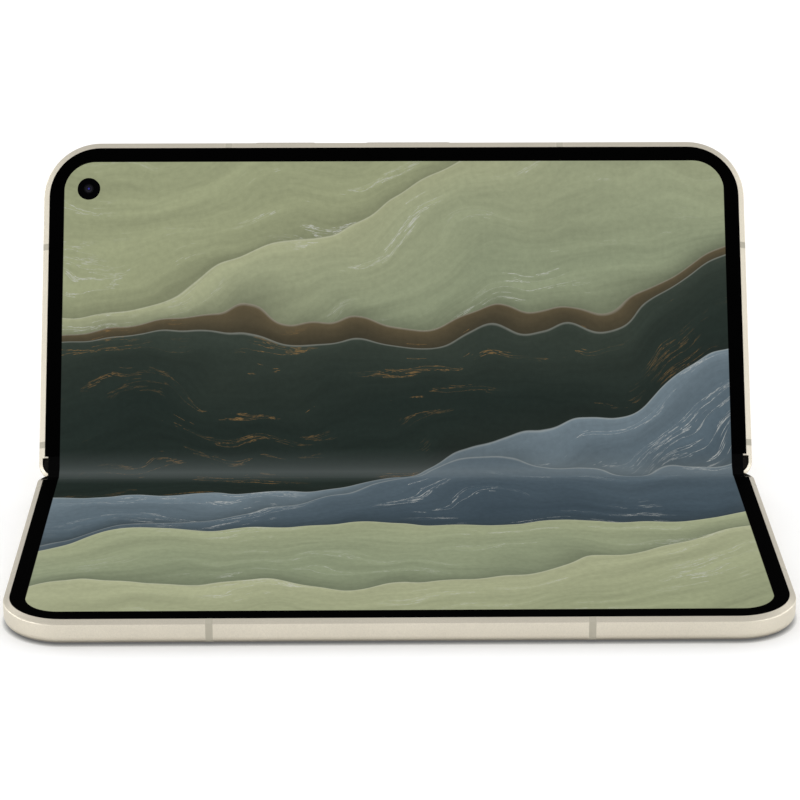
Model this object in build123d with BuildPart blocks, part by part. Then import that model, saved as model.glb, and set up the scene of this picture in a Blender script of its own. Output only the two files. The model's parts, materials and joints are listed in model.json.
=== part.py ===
"""Book-style foldable phone, standing half open on its outer screen.

Millimetres. The origin is the centre of the outer glass that the phone lies on. X runs along the
hinge, Y from the free edge of the base half to the hinge, Z is up. Each half is drawn in a frame of
its own: local X along the hinge, local Y from the hinge centreline out to the free edge, and local
Z out of the inner screen, whose surface is local Z = 0. Positions along the hinge are given in row X,
which is local X on the lid and the spine and minus local X on the base.
"""

import os
from math import atan2, cos, degrees, radians, sin, sqrt

from build123d import *

# ---- Whole phone ----------------------------------------------------------------------------
length = 155.2  # along the hinge
half_depth = 75.1  # hinge centreline to free edge
thickness = 5.1  # inner screen surface to outer glass surface
half_turn = 29.24  # each half's turn up from the flat phone, degrees
corner_radius = 12.5
notch_radius = 3.4  # plan rounding of the rail ends at the hinge
notch_inset = 1.5
bevel_drop = 0.64
bevel_inset = 1.22
edge_round = 0.3  # rounding between the bevel and the side
under_radius = 1.6
meet_gap = 0.05  # each half's clearance to the centre plane

# ---- Hinge axes and spine -------------------------------------------------------------------
axis_out = 1.275  # virtual axis to the centreline
axis_drop = 1.125  # virtual axis below the screen surface
back_wall = 0.45  # metal strip of each half that covers the spine
spine_gap = 0.1
spine_wall = 0.4
spine_lip = 0.7  # cover's upper edges below the virtual axes
spine_end_gap = 0.4
cap_thick = 1.0
housing_fit = 0.02
housing_top = 0.85  # top of the housings below the screen surface
block_half = 6.0  # half the length of a housing's grooved block
module_from_end = 27.6

# ---- Crescent rails and brackets ------------------------------------------------------------
crescent_inner = 1.3
crescent_outer = 2.1
crescent_width = 4.5
crescent_apart = 1.0
crescent_start = 205.0  # degrees round the virtual axis, in the lid's own frame
crescent_end = 340.0
groove_start = 195.0
crescent_play = 0.05
arm_thick = 0.6
pad_start = 4.9
pad_reach = 12.5
pad_top = 1.35
pad_play = 0.1
recess_floor = 2.4  # fold recess below the screen surface
screw_out = 9.5
screw_head = 1.3
screw_head_high = 0.45
screw_shank = 0.7
screw_depth = 3.9
screw_sides = 12

# ---- Gears ----------------------------------------------------------------------------------
gear_width = 1.8
gear_play = 0.1
gear_module = 1 / 6
idler_teeth = 12
rotor_teeth = 9  # on the full circle
rotor_hub = 0.6
shaft_radius = 0.35
shaft_play = 0.03
shaft_seat = 0.7
plate_end = 1.0
window_half = 2.4
tooth_half = 0.1  # half a tooth's width on the pitch circle
tooth_rise = 0.6  # of the module, above the pitch circle
tooth_root = 0.8  # of the module, below the pitch circle
tooth_flare = 1.5  # root width against the width on the pitch circle
root_bury = 0.06  # depth of a tooth's root in the gear's body

# ---- Screen, bezel, plates ------------------------------------------------------------------
panel_thick = 0.7
panel_play = 0.05
panel_edge_play = 0.1
plate_thick = 0.6
lit_inset = 4.5  # outline to the lit area
lit_radius = 6.9
bezel_inset = 1.28
bezel_play = 0.05
bezel_rise = 0.1
bezel_seat = 0.3
lip_gap = 0.02
rail_width = 2.0
thin_rail = 0.8
ledge_thick = 0.35
ledge_drop = 2.0
ledge_out = {"base": 3.25, "lid": 4.06}
seal_thick = 0.8
seal_play = 0.05
fold_out = 4.5  # hinge centreline to the rigid part of the screen
fold_radius = 3.8
fold_seam = 0.02
plate_start = 8.0
cavity_start = 15.0
cavity_inset = 2.4

# ---- Outer glass ----------------------------------------------------------------------------
glass_proud = 0.15
glass_thick = 0.6
glass_inset = 1.7
glass_start = 6.6
glass_play = 0.08
glass_round = 0.12
cover_panel_thick = 0.5
cover_panel_inset = 3.6

# ---- Antenna bands --------------------------------------------------------------------------
band_width = 1.4
band_x = 36.8
band_out = 7.0
band_from_edge = 23.8

# ---- Keys -----------------------------------------------------------------------------------
key_height = 2.0
key_drop = 2.75  # key centre below the screen surface
key_proud = 0.45
key_sunk = 1.2
key_play = 0.15
key_floor = 0.3
key_round = 0.25
power_x = -24.2
power_length = 13.9
volume_x = 3.06
volume_length = 19.4
stem_radius = 0.5
stem_play = 0.12
stem_apart = 12.0
switch_depth = 0.8
switch_width = 3.2
switch_gap = 0.3

# ---- Side openings --------------------------------------------------------------------------
usb_out = 37.5
usb_drop = 2.93
usb_length = 8.94
usb_height = 3.06
usb_wall = 0.25
usb_depth = 6.5
usb_play = 0.03
usb_set_in = 0.2
tongue_length = 6.69
tongue_thick = 0.7
tongue_depth = 4.45
speaker_from_edge = 17.7  # free edge to the middle of the row of holes
speaker_count = 5
speaker_pitch = 2.1
speaker_hole = 0.55
mic_out = 24.0
mic_hole = 0.35
tray_out = 42.0
tray_face = 14.6
tray_height = 2.0
tray_drop = 2.3
tray_plate = 1.2
tray_play = 0.08
tray_reach = 16.5
tray_thick = 0.9
tray_rim = 1.0
card_length = 12.3
card_width = 8.8
card_deep = 0.7
reader_wall = 0.3
pin_hole = 0.4

# ---- Cameras --------------------------------------------------------------------------------
selfie_from_end = 9.9
selfie_from_edge = 10.56
selfie_radius = 2.45
selfie_play = 0.1
selfie_depth = 3.9
selfie_eye = 1.1  # radius of the well in front of the lens
barrel_edge = 0.2
eye_depth = 0.3
outer_selfie_x = 0.0
outer_selfie_from_edge = 8.1
outer_selfie_radius = 1.9
outer_selfie_eye = 0.9
island_from_end = 7.6
island_from_edge = 5.1
island_length = 50.0
island_depth = 24.0
island_radius = 8.0
island_rise = 1.9
island_edge = 0.7
island_lip = 1.2
island_play = 0.1
lens_pitch = 14.0
lens_first = -15.5
lens_names = ("main", "wide", "tele")
lens_radii = (5.4, 4.6, 5.4)
lens_ring = 0.6
lens_rise = 0.5
lens_bevel = 0.2
lens_step = 0.25  # depth of the well round a module's front lens
lens_glass = 0.6
lens_glass_set = 0.15
lens_play = 0.03
flash_x = 20.2
flash_out = 5.0
flash_radius = 1.9

# ---- Inner parts ----------------------------------------------------------------------------
part_gap = 0.3
film_gap = 0.1  # adhesive film under the cells and the sub board
board_thick = 0.75
cell_round = 1.5
coil_x = 10.0
coil_outer = 20.0
coil_inner = 10.0
coil_thick = 0.25
can_thick = 1.2
can_inset = 1.0
cell_from_wall = 2.0
base_cell_from_end = 27.6
base_cell_to_camera = 3.1
lid_cell_from_end = 5.6
lid_cell_from_edge = 31.1
side_parts = 23.6  # width kept free for the parts at the lid's right end
sub_board_length = 18.0
sub_board_depth = 23.0
sub_board_from_end = 3.6
haptic_length = 14.0
haptic_depth = 10.0
haptic_from_end = 5.6
haptic_from_wall = 5.0
earpiece_length = 12.0
earpiece_depth = 10.0
earpiece_from_end = 4.6
earpiece_from_wall = 23.0
board_to_island = 4.0
board_to_cell = 2.5
board_from_edge = 4.6
loudspeaker_length = 17.0
loudspeaker_from_end = 3.1
loudspeaker_from_edge = 9.4
loudspeaker_to_socket = 7.2

# ---- Sizes that follow ----------------------------------------------------------------------
half_length = length / 2
frame_bottom = glass_proud - thickness
axis_z = -axis_drop
spine_radius = thickness - glass_proud - back_wall - spine_gap - axis_drop
bay_radius = spine_radius + spine_gap
spine_bore = spine_radius - spine_wall
glass_end = half_depth - glass_inset
glass_centre = (glass_start + glass_end) / 2
bay_half = half_length - rail_width
spine_half = bay_half - spine_end_gap
plate_top = -(panel_thick + panel_play)
cavity_top = plate_top - plate_thick
glass_inner = glass_thick - thickness
rotor_pitch = gear_module * rotor_teeth / 2
idler_pitch = gear_module * idler_teeth / 2
tooth_out = tooth_rise * gear_module
tooth_in = tooth_root * gear_module
idler_y = idler_pitch
idler_z = axis_z - sqrt((rotor_pitch + idler_pitch) ** 2 - (axis_out - idler_pitch) ** 2)
mesh_angle = degrees(atan2(idler_z - axis_z, idler_y - axis_out)) % 360
module_end = half_length - module_from_end
module_places = {"left": -module_end, "centre": 0.0, "right": module_end}
geared_modules = ("left", "right")
gear_start = block_half + gear_play  # from the module's place to the gear
gear_stop = gear_start + gear_width
window_stop = gear_stop + gear_play
notch_reach = sqrt(notch_radius**2 - (notch_radius - notch_inset) ** 2)
band_outs = (band_out, half_depth - band_from_edge)
speaker_out = half_depth - speaker_from_edge
selfie_x = selfie_from_end - half_length
selfie_out = half_depth - selfie_from_edge
outer_selfie_out = half_depth - outer_selfie_from_edge
island_x = island_from_end + island_length / 2 - half_length
island_out = half_depth - island_from_edge - island_depth / 2
coil_out = (cavity_start + half_depth - cavity_inset) / 2
cell_start = cavity_start + cell_from_wall
lid_cell_end = half_depth - lid_cell_from_edge
margin = 1.0  # how far a cutter runs past the face that it opens
level_slack = 0.001

# ---- Frames of the three bodies -------------------------------------------------------------
flat_place = Location((0, glass_centre, thickness))
base_axis = Location((0, -axis_out, axis_z))
lid_axis = Location((0, axis_out, axis_z))
turn_up = Location((0, 0, 0), (half_turn, 0, 0))
spine_place = flat_place * base_axis * turn_up * base_axis.inverse()
lid_place = spine_place * lid_axis * turn_up * lid_axis.inverse()
base = Plane(flat_place * Location((0, 0, 0), (0, 0, 180)))
spine = Plane(spine_place)
lid = Plane(lid_place)

os.makedirs("parts", exist_ok=True)


def finish(block, name):
    """Label a finished piece and write it."""
    block.part.label = name
    export_step(block.part, f"parts/{name}.step")


def hand(frame):
    """+1 where local X is row X, -1 where it runs the other way."""
    return 1 if frame.x_dir.X > 0 else -1


def across(frame, x):
    """Section plane across the hinge at local x: sketch X is local Y, sketch Y is local Z."""
    return Plane(frame.from_local_coords((x, 0, 0)), x_dir=frame.y_dir, z_dir=frame.x_dir)


def span(frame, low, high):
    """Section plane and length that cover row X from low to high."""
    start = low if hand(frame) > 0 else -high
    return across(frame, start), high - low


def edge_on(frame, y):
    """Plane facing out of the free edge: sketch X is minus local X, sketch Y is local Z."""
    return Plane(frame.from_local_coords((0, y, 0)), x_dir=-frame.x_dir, z_dir=frame.y_dir)


def end_on(frame, x):
    """Plane facing row +X at row x: sketch X is row side times local Y, sketch Y is local Z."""
    side = hand(frame)
    origin = frame.from_local_coords((side * x, 0, 0))
    return Plane(origin, x_dir=frame.y_dir * side, z_dir=frame.x_dir * side)


def up_axis(frame):
    """Local Z as a sorting axis."""
    return Axis((0, 0, 0), tuple(frame.z_dir))


def out_axis(frame):
    """Local Y as a sorting axis."""
    return Axis((0, 0, 0), tuple(frame.y_dir))


def on_level(frame, edge, height):
    """Whether an edge lies all along at one local height."""
    return all(abs(frame.to_local_coords(edge @ part).Z - height) < level_slack for part in (0, 0.5, 1))


# ---- Plans and sections ---------------------------------------------------------------------
def plan(plane, inset, start, radius=None):
    """Plan of one half with square inner corners, inset from the outline, from start outwards."""
    end = half_depth - inset
    with BuildSketch(plane) as sheet:
        with Locations((0, (start + end) / 2)):
            Rectangle(length - 2 * inset, end - start)
        fillet(sheet.vertices().group_by(Axis.Y)[-1], radius or corner_radius - inset)
    return sheet.sketch


def outline(plane):
    """Plan of one half's milled block, run past the centre plane by the full rail end curves."""
    low = meet_gap + notch_reach - notch_radius
    with BuildSketch(plane) as sheet:
        with Locations((0, (low + half_depth) / 2)):
            Rectangle(length, half_depth - low)
        fillet(sheet.vertices().group_by(Axis.Y)[0], notch_radius)
        fillet(sheet.vertices().group_by(Axis.Y)[-1], corner_radius)
    return sheet.sketch


def rail_ends(plane, kind, play):
    """Plan of the sunk floor inside the thin rail ends, from the centre out to the ledge."""
    inset = thin_rail + play
    low = meet_gap + notch_reach - notch_radius + inset
    high = ledge_out[kind] - play
    with BuildSketch(plane) as sheet:
        with Locations((0, (low + high) / 2)):
            Rectangle(length - 2 * inset, high - low)
        fillet(sheet.vertices().group_by(Axis.Y)[0], notch_radius - inset)
    return sheet.sketch


def bay_section(plane):
    """Space in a half for the spine and the folding part of the screen."""
    side = sqrt(bay_radius**2 - (recess_floor - axis_drop) ** 2)
    with BuildSketch(plane) as sheet:
        with BuildLine():
            Line((-margin, axis_z - bay_radius), (axis_out, axis_z - bay_radius))
            RadiusArc((axis_out, axis_z - bay_radius), (axis_out + side, -recess_floor), -bay_radius)
            Polyline(
                (axis_out + side, -recess_floor),
                (plate_start, -recess_floor),
                (plate_start, margin),
                (-margin, margin),
                (-margin, axis_z - bay_radius),
            )
        make_face()
    return sheet.sketch


def spine_section(plane, radius, top):
    """Section of the spine between its two round sides, up to the height top."""
    bottom = axis_z - radius
    with BuildSketch(plane) as sheet:
        with Locations((-axis_out, axis_z), (axis_out, axis_z)):
            Circle(radius)
        with Locations((0, (bottom + axis_z) / 2)):
            Rectangle(2 * axis_out, radius)
        with Locations((0, top + radius)):
            Rectangle(4 * radius + 2 * axis_out, 2 * radius, mode=Mode.SUBTRACT)
    return sheet.sketch


def ring_sector(plane, centre_y, inner, outer, start, sweep):
    """Ring sector round a virtual axis; angles run from local Y towards local Z."""
    with BuildSketch(plane) as sheet:
        with BuildLine():
            far = CenterArc((centre_y, axis_z), outer, start, sweep)
            near = CenterArc((centre_y, axis_z), inner, start, sweep)
            Line(far @ 0, near @ 0)
            Line(far @ 1, near @ 1)
        make_face()
    return sheet.sketch


def gear_section(plane, centre, pitch, body, angles):
    """Gear section: a body circle with a tooth at each angle in degrees, flat under the screen."""
    tip = pitch + tooth_out
    with BuildSketch(plane) as sheet:
        with Locations(centre):
            Circle(body)
            for angle in angles:
                with Locations(Rotation(0, 0, angle)):
                    Polygon(
                        (0, -tooth_flare * tooth_half),
                        (body - root_bury, -tooth_flare * tooth_half),
                        (pitch, -tooth_half),
                        (tip, -tooth_half / 2),
                        (tip, tooth_half / 2),
                        (pitch, tooth_half),
                        (body - root_bury, tooth_flare * tooth_half),
                        (0, tooth_flare * tooth_half),
                        align=None,
                    )
        with Locations((0, tip - housing_top)):
            Rectangle(4 * thickness, 2 * tip, mode=Mode.SUBTRACT)
    return sheet.sketch


# ---- Half frames ----------------------------------------------------------------------------
def half_blank(frame):
    """Milled block of one half: outline, bevel, rounded underside and rounded rail ends."""
    with BuildPart() as blank:
        extrude(outline(frame.offset(frame_bottom)), amount=-frame_bottom)
        top = blank.faces().sort_by(up_axis(frame))[-1]
        chamfer(top.outer_wire().edges(), length=bevel_inset, length2=bevel_drop, reference=top)
        rim = blank.edges().filter_by(lambda edge: on_level(frame, edge, -bevel_drop))
        fillet(rim, radius=edge_round)
        bottom = blank.faces().sort_by(up_axis(frame))[0]
        fillet(bottom.outer_wire().edges(), radius=under_radius)
        with BuildSketch(across(frame, -half_length - margin)):
            with Locations(((axis_out - margin) / 2, (axis_z + margin) / 2)):
                Rectangle(axis_out + margin, margin - axis_z)
            with Locations((axis_out, axis_z)):
                Circle(axis_out - meet_gap, mode=Mode.SUBTRACT)
            with Locations(((meet_gap - margin) / 2, frame_bottom / 2)):
                Rectangle(meet_gap + margin, 2 * margin - frame_bottom)
        extrude(amount=length + 2 * margin, mode=Mode.SUBTRACT)
    return blank


def antenna_slots():
    """Boxes of the antenna slots in local coordinates: two in the free edge, two in each side."""
    tall = 2 * thickness + 2 * margin
    places = [(side * band_x, half_depth, band_width, 2 * rail_width) for side in (-1, 1)]
    for out in band_outs:
        places += [(side * half_length, out, 2 * rail_width, band_width) for side in (-1, 1)]
    return [(Location((x, y, 0)), Vector(wide, deep, tall)) for x, y, wide, deep in places]


def half_shell(frame, kind):
    """Frame of one half before its side openings: block, bay, seats and cavity."""
    bezel_start = ledge_out[kind] + ledge_thick
    with BuildPart() as shell:
        add(half_blank(frame).part)
        extrude(
            plan(frame.offset(-bezel_seat), bezel_inset, bezel_start),
            amount=bezel_seat + margin,
            mode=Mode.SUBTRACT,
        )
        extrude(
            plan(frame.offset(plate_top), rail_width, -margin),
            amount=margin - plate_top,
            mode=Mode.SUBTRACT,
        )
        extrude(bay_section(across(frame, -bay_half)), amount=2 * bay_half, mode=Mode.SUBTRACT)
        extrude(
            rail_ends(frame.offset(-ledge_drop), kind, 0),
            amount=ledge_drop + margin,
            mode=Mode.SUBTRACT,
        )
        extrude(
            plan(frame.offset(frame_bottom - margin), cavity_inset, cavity_start),
            amount=cavity_top - frame_bottom + margin,
            mode=Mode.SUBTRACT,
        )
        extrude(
            plan(frame.offset(frame_bottom - margin), glass_inset - glass_play, glass_start - glass_play),
            amount=glass_inner - frame_bottom + margin,
            mode=Mode.SUBTRACT,
        )
        for place in module_places:
            low, high = pad_span(place)
            middle = hand(frame) * (low + high) / 2
            with BuildSketch(frame.offset(-recess_floor)):
                with Locations((middle, (plate_start + pad_reach) / 2)):
                    Rectangle(high - low + 2 * pad_play, pad_reach - plate_start + 2 * pad_play)
            extrude(amount=recess_floor, mode=Mode.SUBTRACT)
            with BuildSketch(frame.offset(-recess_floor)):
                with Locations(*screw_spots(frame, place)):
                    RegularPolygon(screw_shank, screw_sides)
            extrude(amount=recess_floor - screw_depth, mode=Mode.SUBTRACT)
    return shell


def pad_span(place):
    """Row X from start to end of a hinge bracket's pad."""
    end = window_stop if place in geared_modules else block_half
    return module_places[place] - block_half, module_places[place] + end


def screw_spots(frame, place):
    """Local plan positions of a bracket's screws."""
    low, high = pad_span(place)
    inner = 2 * screw_head
    count = 3 if place in geared_modules else 2
    step = (high - low - 2 * inner) / (count - 1)
    return [(hand(frame) * (low + inner + step * i), screw_out) for i in range(count)]


def bands(frame, name, shell):
    """Plastic antenna bands that fill the frame's slots."""
    with BuildPart(frame) as strips:
        for place, size in antenna_slots():
            with Locations(place):
                Box(size.X, size.Y, size.Z)
    with BuildPart() as filled:
        add(shell.part)
        add(strips.part, mode=Mode.INTERSECT)
    finish(filled, name)
    return strips


def rail_seals(frame, kind):
    """Dark seals on the floors of the rail ends beside the hinge."""
    floor = frame.offset(-ledge_drop)
    with BuildPart() as seals:
        extrude(rail_ends(floor, kind, seal_play), amount=seal_thick)
        with BuildSketch(floor):
            Rectangle(2 * (bay_half + seal_play), 2 * half_depth)
        extrude(amount=seal_thick, mode=Mode.SUBTRACT)
    finish(seals, f"{kind}_rail_seals")


# ---- Side openings of the frames ------------------------------------------------------------
def pill(plane, places, long, high):
    """Round-ended slots on a plane."""
    with BuildSketch(plane) as sheet:
        with Locations(*places):
            SlotOverall(long, high)
    return sheet.sketch


def key_slot_cut(frame, x, long):
    """Slot in the free edge for a key, with its stems' holes."""
    floor = half_depth - key_sunk - key_floor
    place = (-x, -key_drop)
    extrude(
        pill(edge_on(frame, floor), [place], long + 2 * key_play, key_height + 2 * key_play),
        amount=half_depth - floor + margin,
        mode=Mode.SUBTRACT,
    )
    with BuildSketch(edge_on(frame, half_depth - cavity_inset - margin)) as holes:
        with Locations(*stem_places(x, long)):
            Circle(stem_radius + stem_play)
    extrude(holes.sketch, amount=cavity_inset + margin, mode=Mode.SUBTRACT)


def stem_places(x, long):
    """Stems of a key in the sketch of the free edge: one in a short key, two in a long one."""
    if long < stem_apart + key_height + 2 * stem_radius:
        return [(-x, -key_drop)]
    return [(-x - stem_apart / 2, -key_drop), (-x + stem_apart / 2, -key_drop)]


def key(frame, x, long, name):
    """Round-ended key with the stems that reach its switches."""
    inner = half_depth - key_sunk
    with BuildPart() as cap:
        extrude(
            pill(edge_on(frame, inner), [(-x, -key_drop)], long, key_height),
            amount=key_sunk + key_proud,
        )
        fillet(cap.faces().sort_by(out_axis(frame))[-1].edges(), radius=key_round)
        with BuildSketch(edge_on(frame, inner)) as stems:
            with Locations(*stem_places(x, long)):
                Circle(stem_radius)
        extrude(stems.sketch, amount=-(cavity_inset + switch_gap - key_sunk))
    finish(cap, name)


def tray_window_cut(frame):
    """Slot through the side rail for the tray's face and body."""
    side = hand(frame)
    place = [(side * tray_out, -tray_drop)]
    extrude(
        pill(end_on(frame, half_length - tray_plate), place, tray_face, tray_height),
        amount=tray_plate + margin,
        mode=Mode.SUBTRACT,
    )
    with BuildSketch(end_on(frame, bay_half - margin)) as window:
        with Locations(*place):
            Rectangle(card_length + 2 * tray_rim + 2 * tray_play, tray_thick + 2 * tray_play)
    extrude(window.sketch, amount=rail_width + margin, mode=Mode.SUBTRACT)


def base_frame_part():
    """Base half's frame with its tray slot."""
    with BuildPart() as shell:
        add(half_shell(base, "base").part)
        tray_window_cut(base)
    strips = bands(base, "base_antenna_bands", shell)
    with BuildPart() as body:
        add(shell.part)
        add(strips.part, mode=Mode.SUBTRACT)
    finish(body, "base_frame")


def lid_frame_part():
    """Lid half's frame with its key slots, charging socket, loudspeaker and microphone holes."""
    with BuildPart() as shell:
        add(half_shell(lid, "lid").part)
        key_slot_cut(lid, power_x, power_length)
        key_slot_cut(lid, volume_x, volume_length)
        socket = pill(
            end_on(lid, half_length - usb_depth - margin),
            [(usb_out, -usb_drop)],
            usb_length + 2 * usb_play,
            usb_height + 2 * usb_play,
        )
        extrude(socket, amount=usb_depth + 2 * margin, mode=Mode.SUBTRACT)
        with BuildSketch(end_on(lid, bay_half - margin)) as holes:
            with Locations((speaker_out, -key_drop)):
                with GridLocations(speaker_pitch, 0, speaker_count, 1):
                    Circle(speaker_hole)
            with Locations((mic_out, -key_drop)):
                Circle(mic_hole)
        extrude(holes.sketch, amount=rail_width + 2 * margin, mode=Mode.SUBTRACT)
        with BuildSketch(lid.offset(cavity_top - margin)) as eye:
            with Locations((selfie_x, selfie_out)):
                Circle(selfie_radius + selfie_play)
        extrude(eye.sketch, amount=2 * margin, mode=Mode.SUBTRACT)
    strips = bands(lid, "lid_antenna_bands", shell)
    with BuildPart() as body:
        add(shell.part)
        add(strips.part, mode=Mode.SUBTRACT)
    finish(body, "lid_frame")


# ---- Inner screen and bezel -----------------------------------------------------------------
def bezel(frame, name, kind):
    """Black frame round the inner screen: a seat in the metal and a thin lip over the panel."""
    start = ledge_out[kind] + ledge_thick
    with BuildPart() as ring:
        extrude(
            plan(frame.offset(-bezel_seat), bezel_inset + bezel_play, start),
            amount=bezel_seat + bezel_rise,
        )
        extrude(
            plan(frame.offset(-bezel_seat - margin), rail_width, start - margin),
            amount=bezel_seat + margin + lip_gap,
            mode=Mode.SUBTRACT,
        )
        extrude(
            plan(frame.offset(-margin), lit_inset, start - margin, lit_radius),
            amount=2 * margin,
            mode=Mode.SUBTRACT,
        )
    finish(ring, name)


def panel(frame, name, eye=None):
    """Rigid part of the inner screen on its metal backing."""
    with BuildPart() as sheet:
        extrude(
            plan(frame.offset(-panel_thick), rail_width + panel_edge_play, fold_out + fold_seam),
            amount=panel_thick,
        )
        if eye:
            with BuildSketch(frame):
                with Locations(eye):
                    Circle(selfie_radius + selfie_play)
            extrude(amount=-panel_thick, mode=Mode.SUBTRACT)
    finish(sheet, name)


def screen_point(out, drop):
    """Point of the lid's screen in the spine's section, at a distance out of the hinge."""
    turn = radians(half_turn)
    y = out - axis_out
    z = axis_drop - drop
    return (axis_out + y * cos(turn) - z * sin(turn), axis_z + y * sin(turn) + z * cos(turn))


def fold_zone():
    """Part of the screen that bends over the spine, drawn at the rest angle."""
    slope = sin(radians(half_turn)) / cos(radians(half_turn))
    edges = []
    for drop in (0.0, panel_thick):
        tip = screen_point(fold_out, drop)
        edges.append([(-tip[0], tip[1]), (0, tip[1] - tip[0] * slope), tip])
    with BuildPart() as sheet:
        half = bay_half - panel_edge_play
        with BuildSketch(across(spine, -half)):
            with BuildLine():
                upper = FilletPolyline(*edges[0], radius=fold_radius)
                lower = FilletPolyline(*edges[1], radius=fold_radius + panel_thick)
                Line(upper @ 0, lower @ 0)
                Line(upper @ 1, lower @ 1)
            make_face()
        extrude(amount=2 * half)
    finish(sheet, "display_fold")


# ---- Outer glass and what lies behind it ----------------------------------------------------
def outer_glass(frame, name, hole=None):
    """Glass of the outer side, with the hole of a given sketch if there is one."""
    with BuildPart() as pane:
        extrude(plan(frame.offset(-thickness), glass_inset, glass_start), amount=glass_thick)
        fillet(pane.faces().sort_by(up_axis(frame))[0].edges(), radius=glass_round)
        if hole:
            extrude(hole, amount=glass_thick + 2 * margin, mode=Mode.SUBTRACT)
    finish(pane, name)


def island_plan(plane, shrink):
    """Rounded plan of the camera island."""
    with BuildSketch(plane) as sheet:
        with Locations((island_x, island_out)):
            RectangleRounded(
                island_length - 2 * shrink, island_depth - 2 * shrink, island_radius - shrink
            )
    return sheet.sketch


def cover_screen():
    """Outer screen panel behind the cover glass, with the window of the outer camera."""
    with BuildPart() as sheet:
        extrude(
            plan(base.offset(glass_inner), cover_panel_inset, cavity_start + part_gap),
            amount=cover_panel_thick,
        )
        with BuildSketch(base.offset(glass_inner)):
            with Locations((hand(base) * outer_selfie_x, outer_selfie_out)):
                Circle(outer_selfie_radius + selfie_play)
        extrude(amount=cover_panel_thick, mode=Mode.SUBTRACT)
    finish(sheet, "cover_panel")


def lens_places():
    """Local plan positions of the three lenses."""
    return [(island_x + lens_first + lens_pitch * i, island_out) for i in range(len(lens_names))]


def camera_island():
    """Raised housing of the rear cameras, seated through the back glass."""
    outer = -thickness - island_rise
    with BuildPart() as block:
        extrude(island_plan(lid.offset(outer), 0), amount=island_rise)
        fillet(block.faces().sort_by(up_axis(lid))[0].edges(), radius=island_edge)
        extrude(island_plan(lid.offset(-thickness), island_lip), amount=glass_thick)
        for place, radius in zip(lens_places(), lens_radii):
            with BuildSketch(lid.offset(outer - margin)):
                with Locations(place):
                    Circle(radius)
            extrude(amount=island_rise + glass_thick + 2 * margin, mode=Mode.SUBTRACT)
        with BuildSketch(lid.offset(outer - margin)):
            with Locations((island_x + flash_x, island_out + flash_out)):
                Circle(flash_radius)
            with Locations((island_x + flash_x, island_out - flash_out)):
                Circle(mic_hole)
        extrude(amount=island_rise + glass_thick + 2 * margin, mode=Mode.SUBTRACT)
    finish(block, "camera_island")


def lens(name, place, radius):
    """Metal ring, glass window and stepped module of one rear camera."""
    outer = -thickness - island_rise
    seat = radius - lens_play
    with BuildPart() as ring:
        with BuildSketch(lid.offset(outer - lens_rise)):
            with Locations(place):
                Circle(seat)
                Circle(seat - lens_ring, mode=Mode.SUBTRACT)
        extrude(amount=lens_rise + island_rise)
        chamfer(ring.faces().sort_by(up_axis(lid))[0].edges(), length=lens_bevel)
    finish(ring, f"lens_ring_{name}")
    with BuildPart() as window:
        with BuildSketch(lid.offset(outer - lens_rise + lens_glass_set)):
            with Locations(place):
                Circle(seat - lens_ring)
        extrude(amount=lens_glass)
    finish(window, f"lens_glass_{name}")
    base_z = outer - lens_rise + lens_glass_set + lens_glass
    with BuildPart() as barrel:
        with BuildSketch(lid.offset(base_z)):
            with Locations(place):
                Circle(seat - lens_ring)
                Circle((seat - lens_ring) / 2, mode=Mode.SUBTRACT)
        extrude(amount=lens_step)
        with BuildSketch(lid.offset(base_z + lens_step)):
            with Locations(place):
                Circle(seat - lens_ring)
        extrude(amount=cavity_top - part_gap - base_z - lens_step)
    finish(barrel, f"camera_module_{name}")


def flash():
    """Flash lens in the island."""
    with BuildPart() as dome:
        with BuildSketch(lid.offset(-thickness - island_rise)):
            with Locations((island_x + flash_x, island_out + flash_out)):
                Circle(flash_radius - lip_gap)
        extrude(amount=island_rise)
    finish(dome, "flash_lens")


def selfie(frame, name, place, radius, eye, front, back):
    """Front camera: a round barrel from the local height front to back, with a well for its lens."""
    with BuildPart() as barrel:
        with BuildSketch(frame.offset(front)):
            with Locations(place):
                Circle(radius)
        extrude(amount=back - front)
        chamfer(barrel.faces().sort_by(up_axis(frame))[0].edges(), length=barrel_edge)
        with BuildSketch(frame.offset(front)):
            with Locations(place):
                Circle(eye)
        extrude(amount=eye_depth if back > front else -eye_depth, mode=Mode.SUBTRACT)
    finish(barrel, name)


# ---- Hinge ----------------------------------------------------------------------------------
def spine_cover():
    """Curved cover of the hinge, round about both virtual axes."""
    lip = axis_z - spine_lip
    with BuildPart() as shell:
        extrude(spine_section(across(spine, -spine_half), spine_radius, lip), amount=2 * spine_half)
        extrude(
            spine_section(across(spine, -spine_half), spine_bore, lip + margin),
            amount=2 * spine_half,
            mode=Mode.SUBTRACT,
        )
    finish(shell, "spine_cover")


def spine_cap(name, start):
    """End cap that closes the spine under the screen."""
    with BuildPart() as cap:
        extrude(
            spine_section(across(spine, start), spine_bore - housing_fit, axis_z - spine_lip),
            amount=cap_thick,
        )
        with BuildSketch(across(spine, start)):
            with Locations((0, (axis_z - spine_lip - housing_top) / 2)):
                Rectangle(2 * axis_out, -housing_top - axis_z + spine_lip)
        extrude(amount=cap_thick)
    finish(cap, name)


def crescent_span(kind, place):
    """Row X of a crescent rail: the lid's lies right of the module's place, the base's left."""
    near = crescent_apart / 2
    far = near + crescent_width
    centre = module_places[place]
    return (centre + near, centre + far) if kind == "lid" else (centre - far, centre - near)


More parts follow.
